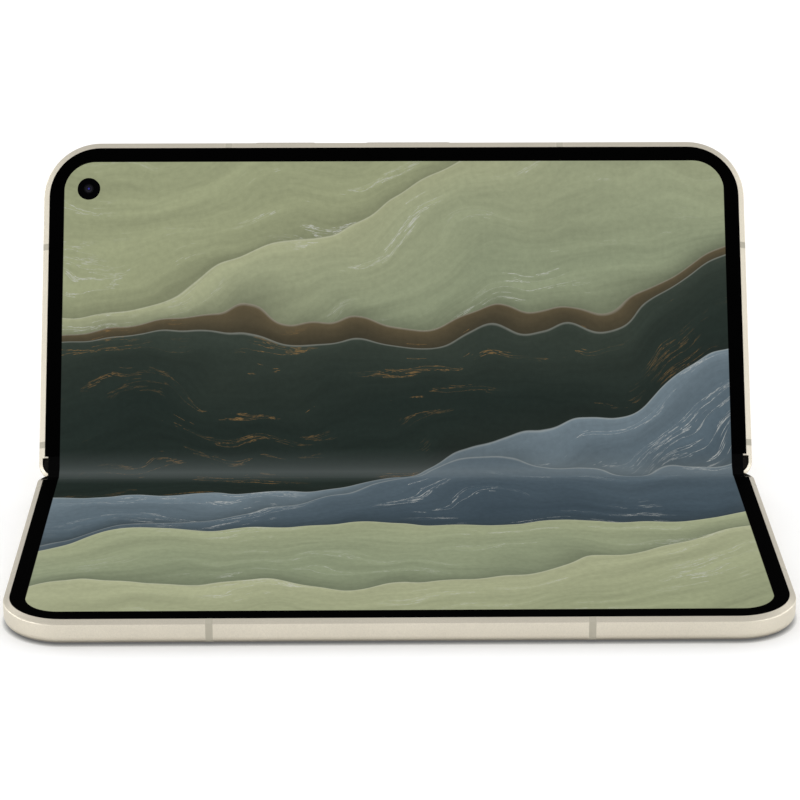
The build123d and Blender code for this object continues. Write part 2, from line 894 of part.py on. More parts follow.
def housing(place):
    """Hinge housing: two crescent grooves round the virtual axes and, with gears, an end plate."""
    centre = module_places[place]
    low = centre - block_half
    high = centre + block_half
    geared = place in geared_modules
    core = crescent_inner - crescent_play
    shelf = axis_z - spine_lip
    if geared:
        high = centre + window_stop + plate_end
    with BuildPart() as block:
        extrude(spine_section(across(spine, low), spine_bore - housing_fit, shelf), amount=high - low)
        with BuildSketch(across(spine, low)) as cores:
            with Locations((-axis_out, axis_z), (axis_out, axis_z)):
                Circle(core)
            with Locations((0, (shelf - housing_top) / 2)):
                Rectangle(2 * axis_out, -housing_top - shelf)
            with Locations((0, -housing_top + core)):
                Rectangle(4 * axis_out + 4 * core, 2 * core, mode=Mode.SUBTRACT)
        extrude(cores.sketch, amount=high - low)
        for kind in ("base", "lid"):
            side = 1 if kind == "lid" else -1
            start, stop = crescent_span(kind, place)
            sweep = 360 - groove_start
            first = groove_start if kind == "lid" else 180.0
            extrude(
                ring_sector(
                    across(spine, start - crescent_play),
                    side * axis_out,
                    core,
                    crescent_outer + crescent_play,
                    first,
                    sweep,
                ),
                amount=stop - start + 2 * crescent_play,
                mode=Mode.SUBTRACT,
            )
        if geared:
            with BuildSketch(across(spine, centre + block_half)):
                Rectangle(2 * window_half, 4 * thickness)
                with Locations((0, shelf + thickness)):
                    Rectangle(4 * thickness, 2 * thickness)
            extrude(amount=window_stop - block_half, mode=Mode.SUBTRACT)
            with BuildSketch(across(spine, centre + block_half - shaft_seat - gear_play)):
                with Locations((-idler_y, idler_z), (idler_y, idler_z)):
                    Circle(shaft_radius + shaft_play)
            extrude(amount=high - centre - block_half + shaft_seat + gear_play, mode=Mode.SUBTRACT)
    finish(block, f"hinge_housing_{place}")


def idler(kind, place):
    """Idler gear with its shaft, turned to its place in mesh at the rest angle."""
    side = 1 if kind == "lid" else -1
    pitch_angle = 360 / idler_teeth
    facing = mesh_angle - 180
    turned = -half_turn * rotor_teeth / idler_teeth
    first = facing + turned + (pitch_angle / 2 if kind == "lid" else 0)
    angles = [first + pitch_angle * i for i in range(idler_teeth)]
    if kind == "base":
        angles = [180 - angle for angle in angles]
    start = module_places[place] + gear_start
    centre = (side * idler_y, idler_z)
    with BuildPart() as wheel:
        section = across(spine, start)
        extrude(
            gear_section(section, centre, idler_pitch, idler_pitch - tooth_in, angles),
            amount=gear_width,
        )
        with BuildSketch(across(spine, start - gear_play - shaft_seat)):
            with Locations(centre):
                Circle(shaft_radius)
        extrude(amount=shaft_seat + 2 * gear_play + gear_width + plate_end)
    finish(wheel, f"idler_{kind}_{place}")


def bracket(frame, kind, place):
    """Hinge bracket: screwed pad, crescent rail on its arm and, with gears, a toothed sector."""
    low, high = pad_span(place)
    plane, width = span(frame, low, high)
    with BuildPart() as arm:
        with BuildSketch(plane):
            with Locations(((pad_start + pad_reach) / 2, -(recess_floor + pad_top) / 2)):
                Rectangle(pad_reach - pad_start, recess_floor - pad_top)
        extrude(amount=width)
        start, stop = crescent_span(kind, place)
        plane, width = span(frame, start, stop)
        sweep = crescent_end - crescent_start
        extrude(
            ring_sector(plane, axis_out, crescent_inner, crescent_outer, crescent_start, sweep),
            amount=width,
        )
        extrude(arm_section(plane, axis_out + crescent_inner), amount=width)
        if place in geared_modules:
            start = module_places[place] + gear_start
            plane, width = span(frame, start, start + gear_width)
            step = 360 / rotor_teeth
            first = mesh_angle if kind == "lid" else mesh_angle + step / 2
            angles = [first + step * i for i in (1, 0, -1, -2)]
            centre = (axis_out, axis_z)
            extrude(gear_section(plane, centre, rotor_pitch, rotor_hub, angles), amount=width)
            extrude(arm_section(plane, axis_out), amount=width)
        with BuildSketch(frame.offset(-recess_floor)):
            with Locations(*screw_spots(frame, place)):
                RegularPolygon(screw_shank + lip_gap, screw_sides)
        extrude(amount=recess_floor, mode=Mode.SUBTRACT)
    finish(arm, f"{kind}_bracket_{place}")


def arm_section(plane, start):
    """Flat arm from near the virtual axis to the pad."""
    stop = pad_start + arm_thick
    with BuildSketch(plane) as sheet:
        with Locations(((start + stop) / 2, axis_z - arm_thick / 2)):
            Rectangle(stop - start, arm_thick)
    return sheet.sketch


def bracket_screws(frame, kind):
    """Screws of all three brackets of one half."""
    with BuildPart() as screws:
        for place in module_places:
            with BuildSketch(frame.offset(-pad_top)) as heads:
                with Locations(*screw_spots(frame, place)):
                    RegularPolygon(screw_head, screw_sides)
            extrude(heads.sketch, amount=screw_head_high)
            with BuildSketch(frame.offset(-pad_top)) as shanks:
                with Locations(*screw_spots(frame, place)):
                    RegularPolygon(screw_shank, screw_sides)
            extrude(shanks.sketch, amount=pad_top - screw_depth)
    finish(screws, f"{kind}_bracket_screws")


# ---- Socket, tray, switches -----------------------------------------------------------------
def usb_port():
    """Charging receptacle: a round-ended shell, closed behind, with its tongue."""
    front = half_length - usb_set_in
    place = [(hand(lid) * usb_out, -usb_drop)]
    with BuildPart() as port:
        extrude(pill(end_on(lid, front - usb_depth), place, usb_length, usb_height), amount=usb_depth)
        mouth = pill(
            end_on(lid, front - usb_depth + usb_wall),
            place,
            usb_length - 2 * usb_wall,
            usb_height - 2 * usb_wall,
        )
        extrude(mouth, amount=usb_depth, mode=Mode.SUBTRACT)
        with BuildSketch(end_on(lid, front - usb_depth + usb_wall)) as tongue:
            with Locations(*place):
                Rectangle(tongue_length, tongue_thick)
        extrude(tongue.sketch, amount=tongue_depth)
    finish(port, "usb_port")


def sim_tray():
    """Card tray: face flush with the side rail, and a plate with the card's pocket."""
    place = [(hand(base) * tray_out, -tray_drop)]
    face = end_on(base, half_length - tray_plate)
    with BuildPart() as tray:
        front = pill(face, place, tray_face - 2 * tray_play, tray_height - 2 * tray_play)
        extrude(front, amount=tray_plate)
        with BuildSketch(face) as plate:
            with Locations(*place):
                Rectangle(card_length + 2 * tray_rim, tray_thick)
        extrude(plate.sketch, amount=-tray_reach)
        pocket_x = half_length - tray_plate - tray_reach + tray_rim + card_width / 2
        with BuildSketch(base.offset(-tray_drop + tray_thick / 2 - card_deep)) as pocket:
            with Locations((hand(base) * pocket_x, tray_out)):
                RectangleRounded(card_width, card_length, tray_rim)
        extrude(pocket.sketch, amount=card_deep + margin, mode=Mode.SUBTRACT)
        with BuildSketch(face) as pin:
            with Locations((place[0][0] + tray_face / 2 - tray_rim, place[0][1])):
                Circle(pin_hole)
        extrude(pin.sketch, amount=tray_plate, mode=Mode.SUBTRACT)
    finish(tray, "sim_tray")


def sim_reader():
    """Metal sleeve that the tray slides into, on the sub board."""
    long = card_length + 2 * tray_rim + 2 * tray_play
    high = tray_thick + 2 * tray_play
    place = (hand(base) * tray_out, -tray_drop)
    back = half_length - tray_plate - tray_reach - part_gap
    with BuildPart() as sleeve:
        with BuildSketch(end_on(base, back - reader_wall)) as outer:
            with Locations(place):
                Rectangle(long + 2 * reader_wall, high + 2 * reader_wall)
        extrude(outer.sketch, amount=half_length - cavity_inset - part_gap - back + reader_wall)
        with BuildSketch(end_on(base, back)) as inner:
            with Locations(place):
                Rectangle(long, high)
        extrude(inner.sketch, amount=tray_reach + tray_plate, mode=Mode.SUBTRACT)
    finish(sleeve, "sim_reader")


def side_switches():
    """Key switches on their flexible strip behind the free edge."""
    face = half_depth - cavity_inset - 2 * switch_gap
    back = face - switch_depth
    spots = stem_places(power_x, power_length) + stem_places(volume_x, volume_length)
    low = -max(spot[0] for spot in spots) - switch_width
    high = -min(spot[0] for spot in spots) + switch_width
    with BuildPart() as strip:
        with BuildSketch(edge_on(lid, back)) as domes:
            with Locations(*spots):
                Rectangle(switch_width, key_height)
        extrude(domes.sketch, amount=switch_depth)
        with BuildSketch(edge_on(lid, back - part_gap)) as film:
            with Locations((-(low + high) / 2, -key_drop)):
                Rectangle(high - low, key_height)
        extrude(film.sketch, amount=part_gap)
    finish(strip, "side_switches")


# ---- Cells, boards and sound ----------------------------------------------------------------
def slab(frame, name, area, top, bottom, rounding=None):
    """Flat inner part over an area, between two heights."""
    (x_low, x_high), (out_low, out_high) = area
    with BuildPart() as block:
        with BuildSketch(frame.offset(bottom)):
            with Locations((hand(frame) * (x_low + x_high) / 2, (out_low + out_high) / 2)):
                RectangleRounded(x_high - x_low, out_high - out_low, rounding or part_gap)
        extrude(amount=top - bottom)
    finish(block, name)


def base_inner_parts():
    """Cell, sub board, haptic motor and earpiece of the base half."""
    screen_back = glass_inner + cover_panel_thick
    bottom = screen_back + film_gap
    cell_end = outer_selfie_out - outer_selfie_radius - base_cell_to_camera
    cell_half = half_length - base_cell_from_end
    cell = ((-cell_half, cell_half), (cell_start, cell_end))
    slab(base, "base_battery", cell, cavity_top, bottom, cell_round)
    board_end = half_length - sub_board_from_end
    board = (
        (board_end - sub_board_length, board_end),
        (tray_out - sub_board_depth / 2, tray_out + sub_board_depth / 2),
    )
    slab(base, "sub_board", board, bottom + board_thick, bottom)
    haptic_x = haptic_from_end - half_length
    haptic_out = cavity_start + haptic_from_wall
    haptic = ((haptic_x, haptic_x + haptic_length), (haptic_out, haptic_out + haptic_depth))
    slab(base, "haptic_motor", haptic, cavity_top, screen_back + part_gap)
    earpiece_x = earpiece_from_end - half_length
    earpiece_out = cavity_start + earpiece_from_wall
    earpiece = ((earpiece_x, earpiece_x + earpiece_length), (earpiece_out, earpiece_out + earpiece_depth))
    slab(base, "earpiece", earpiece, cavity_top, screen_back + part_gap)


def lid_inner_parts():
    """Cell, main board, shield can, loudspeaker and charging coil of the lid half."""
    right = half_length - side_parts
    cell = ((lid_cell_from_end - half_length, right), (cell_start, lid_cell_end))
    slab(lid, "lid_battery", cell, cavity_top, glass_inner + coil_thick + film_gap, cell_round)
    left = island_x + island_length / 2 + board_to_island
    near = lid_cell_end + board_to_cell
    far = half_depth - board_from_edge
    can_top = cavity_top - part_gap - board_thick
    slab(lid, "main_board", ((left, right), (near, far)), cavity_top - part_gap, can_top)
    can = ((left + can_inset, right - can_inset), (near + can_inset, far - can_inset))
    slab(lid, "shield_can", can, can_top, can_top - can_thick)
    end = half_length - loudspeaker_from_end
    near = usb_out + usb_length / 2 + loudspeaker_to_socket
    speaker = ((end - loudspeaker_length, end), (near, half_depth - loudspeaker_from_edge))
    slab(lid, "loudspeaker", speaker, cavity_top, glass_inner + part_gap)
    with BuildPart() as coil:
        with BuildSketch(lid.offset(glass_inner)):
            with Locations((coil_x, coil_out)):
                Circle(coil_outer)
                Circle(coil_inner, mode=Mode.SUBTRACT)
        extrude(amount=coil_thick)
    finish(coil, "charging_coil")


# ---- Build ----------------------------------------------------------------------------------
base_frame_part()
lid_frame_part()
rail_seals(base, "base")
rail_seals(lid, "lid")
bezel(base, "base_bezel", "base")
bezel(lid, "lid_bezel", "lid")
panel(base, "base_display")
panel(lid, "lid_display", (selfie_x, selfie_out))
fold_zone()
outer_glass(base, "cover_glass")
island_hole = island_plan(lid.offset(-thickness - margin), island_lip - island_play)
outer_glass(lid, "back_glass", island_hole)
cover_screen()
camera_island()
for lens_name, lens_place, lens_size in zip(lens_names, lens_places(), lens_radii):
    lens(lens_name, lens_place, lens_size)
flash()
selfie(
    lid, "selfie_camera", (selfie_x, selfie_out), selfie_radius, selfie_eye, -lip_gap, -selfie_depth
)
selfie(
    base,
    "outer_selfie_camera",
    (hand(base) * outer_selfie_x, outer_selfie_out),
    outer_selfie_radius,
    outer_selfie_eye,
    glass_inner,
    cavity_top - part_gap,
)
spine_cover()
spine_cap("spine_cap_left", -spine_half)
spine_cap("spine_cap_right", spine_half - cap_thick)
for module_name in module_places:
    housing(module_name)
    for half_name, half_plane in (("base", base), ("lid", lid)):
        bracket(half_plane, half_name, module_name)
        if module_name in geared_modules:
            idler(half_name, module_name)
bracket_screws(base, "base")
bracket_screws(lid, "lid")
key(lid, power_x, power_length, "power_button")
key(lid, volume_x, volume_length, "volume_rocker")
usb_port()
sim_tray()
sim_reader()
side_switches()
base_inner_parts()
lid_inner_parts()
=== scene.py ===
"""Looks of a book-style foldable phone, standing half open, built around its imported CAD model.

Metres, in the model's own frame: X runs along the hinge, Y from the free edge of the lying half
towards the hinge, and Z is up. Places on a half are written as (x, out, up): x along the hinge,
out from the hinge centreline to the free edge, and up out of the inner screen.
"""

from __future__ import annotations

import json
import logging
import math
from collections.abc import Sequence
from dataclasses import dataclass, field
from enum import Enum

import bmesh
import bpy
from mathutils import Matrix, Vector

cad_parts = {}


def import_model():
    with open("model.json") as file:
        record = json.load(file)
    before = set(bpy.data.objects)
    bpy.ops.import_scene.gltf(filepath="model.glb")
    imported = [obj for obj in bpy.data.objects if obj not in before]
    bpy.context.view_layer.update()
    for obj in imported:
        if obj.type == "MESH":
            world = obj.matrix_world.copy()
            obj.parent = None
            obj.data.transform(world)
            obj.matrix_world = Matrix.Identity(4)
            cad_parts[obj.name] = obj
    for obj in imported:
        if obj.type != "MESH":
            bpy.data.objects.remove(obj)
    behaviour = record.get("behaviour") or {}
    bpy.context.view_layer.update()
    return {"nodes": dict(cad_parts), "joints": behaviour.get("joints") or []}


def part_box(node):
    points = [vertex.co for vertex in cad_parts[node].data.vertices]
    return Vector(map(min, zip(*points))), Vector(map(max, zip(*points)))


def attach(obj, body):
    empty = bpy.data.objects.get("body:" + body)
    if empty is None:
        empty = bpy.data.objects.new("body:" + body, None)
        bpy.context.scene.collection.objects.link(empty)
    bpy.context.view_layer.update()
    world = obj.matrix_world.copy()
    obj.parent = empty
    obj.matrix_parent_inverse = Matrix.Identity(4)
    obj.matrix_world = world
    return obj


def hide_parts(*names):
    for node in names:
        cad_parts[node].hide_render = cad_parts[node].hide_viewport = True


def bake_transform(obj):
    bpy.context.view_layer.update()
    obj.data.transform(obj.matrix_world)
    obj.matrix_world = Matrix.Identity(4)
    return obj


log = logging.getLogger("phone")

MM = 0.001
Socket = bpy.types.NodeSocket
Colour = tuple[float, float, float, float]
Pair = tuple[float, float]
Triple = tuple[float, float, float]
Profile = Sequence[Pair]  # (radius, height) points of a turned section


def srgb(red: int, green: int, blue: int) -> Colour:
    """Linear colour of an 8-bit display colour.

    Args:
        red, green, blue: The three channels, 0 to 255.

    Returns:
        The linear colour with full alpha.
    """

    def channel(value: int) -> float:
        """Linear value of one channel."""
        share = value / 255
        return share / 12.92 if share <= 0.04045 else ((share + 0.055) / 1.055) ** 2.4

    return (channel(red), channel(green), channel(blue), 1.0)


def dimmed(colour: Colour, share: float) -> Colour:
    """A colour at a share of its light."""
    return tuple(channel * share for channel in colour[:3]) + (1.0,)


def around(middle: float, swing: Pair) -> Pair:
    """Range round a middle, from how far it swings below and above."""
    return (middle - swing[0], middle + swing[1])


WHITE: Colour = (1.0, 1.0, 1.0, 1.0)
BLACK: Colour = (0.0, 0.0, 0.0, 1.0)
PALE = srgb(198, 199, 194)
GOLD = srgb(150, 116, 70)
CHAMPAGNE = srgb(215, 208, 192)


# ---- Frames ----------------------------------------------------------------------------------
@dataclass(frozen=True)
class Placement:
    """Rest frame of one body: X along the hinge, out of the hinge, and up out of the screen."""

    origin: Vector
    out: Vector
    up: Vector

    def point(self, x: float, out: float, up: float) -> Vector:
        """Row point of a place on the body."""
        return self.origin + Vector((x, 0, 0)) + self.out * out + self.up * up

    def matrix(self) -> Matrix:
        """Transform from (x, out, up) to the row frame."""
        columns = (Vector((1, 0, 0)), self.out, self.up, self.origin)
        return Matrix(tuple(tuple(c[i] for c in columns) for i in range(3))).to_4x4()


class Phone:
    """Rest frames of the two halves and the spine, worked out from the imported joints."""

    def __init__(self, joints: list[dict]) -> None:
        """Read the hinge axes and the rest angle.

        Args:
            joints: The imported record's joints.
        """
        by_name = {joint["name"]: joint for joint in joints}
        base_axis = Vector(by_name["spine_fold"]["pos_m"])
        lid_axis = Vector(by_name["lid_fold"]["pos_m"])
        base_axis.x = lid_axis.x = 0.0
        screen_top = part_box("base_display")[1]
        between = lid_axis - base_axis
        self.half_turn = math.radians(-by_name["spine_fold"]["range_deg"][0])
        self.axis_out = between.length / 2
        self.axis_drop = screen_top.z - base_axis.z
        self.base = self._half(base_axis, 0.0, -1.0)
        self.lid = self._half(lid_axis, 2 * self.half_turn, 1.0)
        out = between.normalized()
        up = Vector((0, -out.z, out.y))
        middle = (base_axis + lid_axis) / 2 + up * self.axis_drop
        self.spine = Placement(middle, out, up)

    def _half(self, axis: Vector, turn: float, side: float) -> Placement:
        """Work out the frame of one half.

        Args:
            axis: Point on the half's hinge axis.
            turn: Angle from lying flat, in radians.
            side: 1 where out runs along Y when flat, -1 where it runs the other way.

        Returns:
            The half's rest frame.
        """
        out = Vector((0, math.cos(turn), math.sin(turn)))
        up = Vector((0, -out.z, out.y))
        origin = axis - side * out * self.axis_out + up * self.axis_drop
        return Placement(origin, side * out, up)


# ---- Node trees ------------------------------------------------------------------------------
class Nodes:
    """A node tree in the making, with short calls for its nodes, links and maths."""

    def __init__(self, tree: bpy.types.NodeTree) -> None:
        """Start from an empty tree."""
        self.tree = tree
        tree.nodes.clear()

    def node(self, kind: str, **settings: object) -> bpy.types.Node:
        """Add a node.

        Args:
            kind: The node's type.
            **settings: The node's properties, by name.

        Returns:
            The node.
        """
        made = self.tree.nodes.new(kind)
        for key, value in settings.items():
            setattr(made, key, value)
        return made

    def feed(self, target: Socket, source: object) -> None:
        """Link an input to a socket, or set it to a plain value.

        Args:
            target: The input.
            source: An output socket, or a number, colour or vector.
        """
        if isinstance(source, bpy.types.NodeSocket):
            self.tree.links.new(source, target)
        else:
            target.default_value = source

    def math(self, operation: str, *values: object) -> Socket:
        """Add a maths node.

        Args:
            operation: What it does.
            *values: Sockets or numbers, in the order of its inputs.

        Returns:
            The result.
        """
        made = self.node("ShaderNodeMath", operation=operation)
        for target, value in zip(made.inputs, values):
            self.feed(target, value)
        return made.outputs["Value"]

    def span(self, value: Socket, reach: Pair, result: Pair, kind: str = "LINEAR") -> Socket:
        """Map a value from one range to another, clamped at the ends.

        Args:
            value: The value.
            reach: Where the mapping starts and ends.
            result: What the value becomes at the start and at the end.
            kind: LINEAR, or SMOOTHSTEP for soft ends.

        Returns:
            The mapped value.
        """
        made = self.node("ShaderNodeMapRange", clamp=True, interpolation_type=kind)
        self.feed(made.inputs["Value"], value)
        names = ("From Min", "From Max", "To Min", "To Max")
        for name, number in zip(names, (*reach, *result)):
            made.inputs[name].default_value = number
        return made.outputs["Result"]

    def rays(self, *kinds: str) -> Socket:
        """One where a ray of one of the named kinds looks, and zero for others.

        Args:
            *kinds: Outputs of the light path node.

        Returns:
            The one or zero.
        """
        path = self.node("ShaderNodeLightPath")
        total = path.outputs[kinds[0]]
        for name in kinds[1:]:
            total = self.math("MAXIMUM", total, path.outputs[name])
        return total

    def light(self, kind: str, strength: object) -> Socket:
        """Add a node of white light.

        Args:
            kind: The background's or the emission's node type.
            strength: Socket or number.

        Returns:
            The light, as a shader.
        """
        made = self.node(kind)
        made.inputs["Color"].default_value = WHITE
        self.feed(made.inputs["Strength"], strength)
        return made.outputs[0]

    def mixed(self, share: Socket, first: Socket, second: Socket) -> Socket:
        """Mix two shaders.

        Args:
            share: Share of the second, 0 to 1.
            first, second: The shaders.

        Returns:
            The mix.
        """
        made = self.node("ShaderNodeMixShader")
        for target, source in zip(made.inputs, (share, first, second)):
            self.feed(target, source)
        return made.outputs["Shader"]


class Recipe(Nodes):
    """A surface material in the making, with the patterns that the finishes share."""

    def __init__(self, name: str) -> None:
        """Start a material with a principled shader.

        Args:
            name: The material's name.
        """
        self.material = bpy.data.materials.new(name)
        self.material.use_nodes = True
        super().__init__(self.material.node_tree)
        self.shader = self.node("ShaderNodeBsdfPrincipled")
        output = self.node("ShaderNodeOutputMaterial")
        self.feed(output.inputs["Surface"], self.shader.outputs["BSDF"])

    def set(self, **inputs: object) -> None:
        """Feed the shader's inputs, named with underscores for spaces."""
        for key, value in inputs.items():
            self.feed(self.shader.inputs[key.replace("_", " ")], value)

    def place(self) -> Socket:
        """Object coordinates, which are row metres at rest."""
        return self.node("ShaderNodeTexCoord").outputs["Object"]

    def scaled(self, vector: Socket, scale: Triple) -> Socket:
        """Stretch a vector along its three axes.

        Args:
            vector: The vector.
            scale: Factor of each axis.

        Returns:
            The stretched vector.
        """
        made = self.node("ShaderNodeVectorMath", operation="MULTIPLY")
        self.feed(made.inputs[0], vector)
        made.inputs[1].default_value = scale
        return made.outputs["Vector"]

    def away(self, centre: Vector) -> Socket:
        """Distance of the surface's points from a centre.

        Args:
            centre: The centre, in row metres.

        Returns:
            The distance in metres.
        """
        made = self.node("ShaderNodeVectorMath", operation="DISTANCE")
        self.feed(made.inputs[0], self.place())
        made.inputs[1].default_value = centre
        return made.outputs["Value"]

    def along(self, vector: Socket, start: Vector, direction: Vector) -> Socket:
        """Distance of a point from a start, measured along a direction.

        Args:
            vector: The point.
            start: Where the distance is zero.
            direction: Unit vector.

        Returns:
            The distance, negative behind the start.
        """
        away = self.node("ShaderNodeVectorMath", operation="SUBTRACT")
        self.feed(away.inputs[0], vector)
        away.inputs[1].default_value = start
        dot = self.node("ShaderNodeVectorMath", operation="DOT_PRODUCT")
        self.feed(dot.inputs[0], away.outputs["Vector"])
        dot.inputs[1].default_value = direction
        return dot.outputs["Value"]

    def noise(
        self, vector: Socket, scale: float, detail: float = 2.0, rough: float = 0.5
    ) -> Socket:
        """Fractal noise.

        Args:
            vector: Where it is looked up.
            scale: Lumps per unit of the vector.
            detail: Layers of finer noise.
            rough: Weight of each layer against the one before.

        Returns:
            The noise, around a half.
        """
        made = self.node("ShaderNodeTexNoise")
        self.feed(made.inputs["Vector"], vector)
        made.inputs["Scale"].default_value = scale
        made.inputs["Detail"].default_value = detail
        made.inputs["Roughness"].default_value = rough
        return made.outputs["Fac"]

    def vary(self, noise: Socket, result: Pair, spread: float = 0.2) -> Socket:
        """Noise mapped to a range; its usual values lie within the spread from a half."""
        return self.span(noise, (0.5 - spread, 0.5 + spread), result)

    def ramp(self, value: Socket, stops: Sequence[tuple[float, Colour]]) -> Socket:
        """Colour along a ramp.

        Args:
            value: Place on the ramp, 0 to 1.
            stops: Position and colour of each stop.

        Returns:
            The colour.
        """
        made = self.node("ShaderNodeValToRGB")
        elements = made.color_ramp.elements
        while len(elements) < len(stops):
            elements.new(1.0)
        for element, (position, colour) in zip(elements, stops):
            element.position = position
            element.color = colour
        self.feed(made.inputs["Fac"], value)
        return made.outputs["Color"]

    def blend(self, share: object, first: object, second: object, mode: str = "MIX") -> Socket:
        """Mix two colours.

        Args:
            share: Share of the second, 0 to 1.
            first, second: Sockets or colours.
            mode: How they mix.

        Returns:
            The mixed colour.
        """
        made = self.node("ShaderNodeMix", data_type="RGBA", blend_type=mode)
        first_colour, second_colour, result = 6, 7, 2  # the node's colour sockets
        self.feed(made.inputs["Factor"], share)
        self.feed(made.inputs[first_colour], first)
        self.feed(made.inputs[second_colour], second)
        return made.outputs[result]

    def toned(self, colour: Colour, level: Socket) -> Socket:
        """Make a colour lighter or darker.

        Args:
            colour: The colour.
            level: What its channels are multiplied by.

        Returns:
            The new colour.
        """
        made = self.node("ShaderNodeCombineColor")
        for target, channel in zip(made.inputs, colour):
            self.feed(target, self.math("MULTIPLY", level, channel))
        return made.outputs["Color"]

    def bump(self, height: Socket, distance: float) -> None:
        """Give the shader a normal from a relief.

        Args:
            height: Height of the relief, from 0 to about 1.
            distance: Metres that a height of 1 stands for.
        """
        made = self.node("ShaderNodeBump")
        made.inputs["Distance"].default_value = distance
        self.feed(made.inputs["Height"], height)
        self.feed(self.shader.inputs["Normal"], made.outputs["Normal"])


# ---- Finishes --------------------------------------------------------------------------------
class Finish:
    """Common ground of the finishes: a name becomes a material."""

    def build(self, name: str) -> bpy.types.Material:
        """Make the material.

        Args:
            name: The material's name.

        Returns:
            The material.
        """
        made = Recipe(name)
        self.paint(made)
        return made.material

    def paint(self, made: Recipe) -> None:
        """Feed the shader; every finish has its own way."""
        raise NotImplementedError


@dataclass(frozen=True)
class BlastedMetal(Finish):
    """Bead-blasted, anodised metal: fine grains, slight clouding and softly varied gloss."""

    colour: Colour
    roughness: float = 0.4
    swing: Pair = (0.05, 0.07)  # how far the roughness goes below and above
    grain: float = 5200.0  # grains per metre
    cloud: float = 90.0
    depth: float = 3.0e-6
    cloud_tone: Pair = (0.97, 1.02)
    grain_tone: Pair = (0.93, 1.05)

    def paint(self, made: Recipe) -> None:
        """Vary colour, gloss and height with the grains, and colour with the clouds.

        Args:
            made: The material in the making.
        """
        place = made.place()
        grains = made.noise(place, self.grain, rough=0.6)
        clouds = made.vary(made.noise(place, self.cloud, detail=3.0), self.cloud_tone)
        level = made.math("MULTIPLY", clouds, made.vary(grains, self.grain_tone))
        gloss = made.vary(grains, around(self.roughness, self.swing), spread=0.3)
        made.set(Base_Color=made.toned(self.colour, level), Metallic=1.0, Roughness=gloss)
        made.bump(grains, self.depth)


@dataclass(frozen=True)
class SteelSheet(Finish):
    """Rolled or sintered steel with fine streaks."""

    colour: Colour
    roughness: float = 0.36
    swing: Pair = (0.08, 0.1)
    streak: Triple = (300.0, 9000.0, 9000.0)  # streaks per metre along each axis
    mark: float = 700.0
    shade: float = 0.82
    depth: float = 4.0e-6

    def paint(self, made: Recipe) -> None:
        """Vary the colour with marks, and gloss and height with the streaks.

        Args:
            made: The material in the making.
        """
        place = made.place()
        streaks = made.noise(made.scaled(place, self.streak), 1.0, detail=3.0, rough=0.6)
        marks = made.noise(place, self.mark, detail=4.0, rough=0.7)
        steel = made.blend(marks, dimmed(self.colour, self.shade), self.colour)
        gloss = made.vary(streaks, around(self.roughness, self.swing))
        made.set(Base_Color=steel, Metallic=1.0, Roughness=gloss)
        made.bump(streaks, self.depth)


@dataclass(frozen=True)
class Moulding(Finish):
    """Moulded plastic with a spark-eroded grain."""

    colour: Colour
    roughness: float = 0.5
    swing: Pair = (0.06, 0.08)
    grain: float = 3800.0
    cloud: float = 160.0
    shade: float = 0.85
    depth: float = 4.0e-6
    specular: float = 0.5

    def paint(self, made: Recipe) -> None:
        """Vary the colour with clouds, and gloss and height with the grain.

        Args:
            made: The material in the making.
        """
        place = made.place()
        grains = made.noise(place, self.grain, detail=3.0, rough=0.6)
        clouds = made.noise(place, self.cloud)
        made.set(Base_Color=made.blend(clouds, dimmed(self.colour, self.shade), self.colour))
        made.set(Roughness=made.vary(grains, around(self.roughness, self.swing)))
        made.set(Specular_IOR_Level=self.specular)
        made.bump(grains, self.depth)


@dataclass(frozen=True)
class CoatedGlass(Finish):
    """Opaque coated glass: a colour behind, and a polished or etched face in front."""

    colour: Colour
    roughness: float = 0.06
    swing: Pair = (0.0, 0.03)
    etch: float = 0.0  # depth that etching adds to the polished face
    cloud: float = 40.0
    fine: float = 6500.0
    shade: float = 0.94
    polish_depth: float = 1.0e-7
    specular: float = 0.5

    def paint(self, made: Recipe) -> None:
        """Vary colour and gloss with a slow haze, and height with a fine grain.

        Args:
            made: The material in the making.
        """
        place = made.place()
        haze = made.noise(place, self.cloud, detail=3.0)
        fine = made.noise(place, self.fine, rough=0.6)
        made.set(Base_Color=made.blend(haze, dimmed(self.colour, self.shade), self.colour))
        made.set(Roughness=made.vary(haze, around(self.roughness, self.swing)))
        made.set(Specular_IOR_Level=self.specular)
        made.bump(fine, self.polish_depth + self.etch)


@dataclass(frozen=True)
class LensWindow(Finish):
    """Clear window with a faint coating that turns at a slant."""

    tint: Colour
    sheen: Colour
    turn: float = 0.35  # how early the coating's colour turns
    smudge: float = 400.0
    roughness: Pair = (0.0, 0.02)
    refraction: float = 1.5
    specular: float = 0.25

    def paint(self, made: Recipe) -> None:
        """Turn the tint into the sheen at a slant, and vary the gloss with smudges.

        Args:
            made: The material in the making.
        """
        facing = made.node("ShaderNodeLayerWeight")
        facing.inputs["Blend"].default_value = self.turn
        smudges = made.noise(made.place(), self.smudge, detail=3.0)
        made.set(Base_Color=made.blend(facing.outputs["Facing"], self.tint, self.sheen))
        made.set(Roughness=made.vary(smudges, self.roughness), Transmission_Weight=1.0)
        made.set(IOR=self.refraction, Specular_IOR_Level=self.specular)


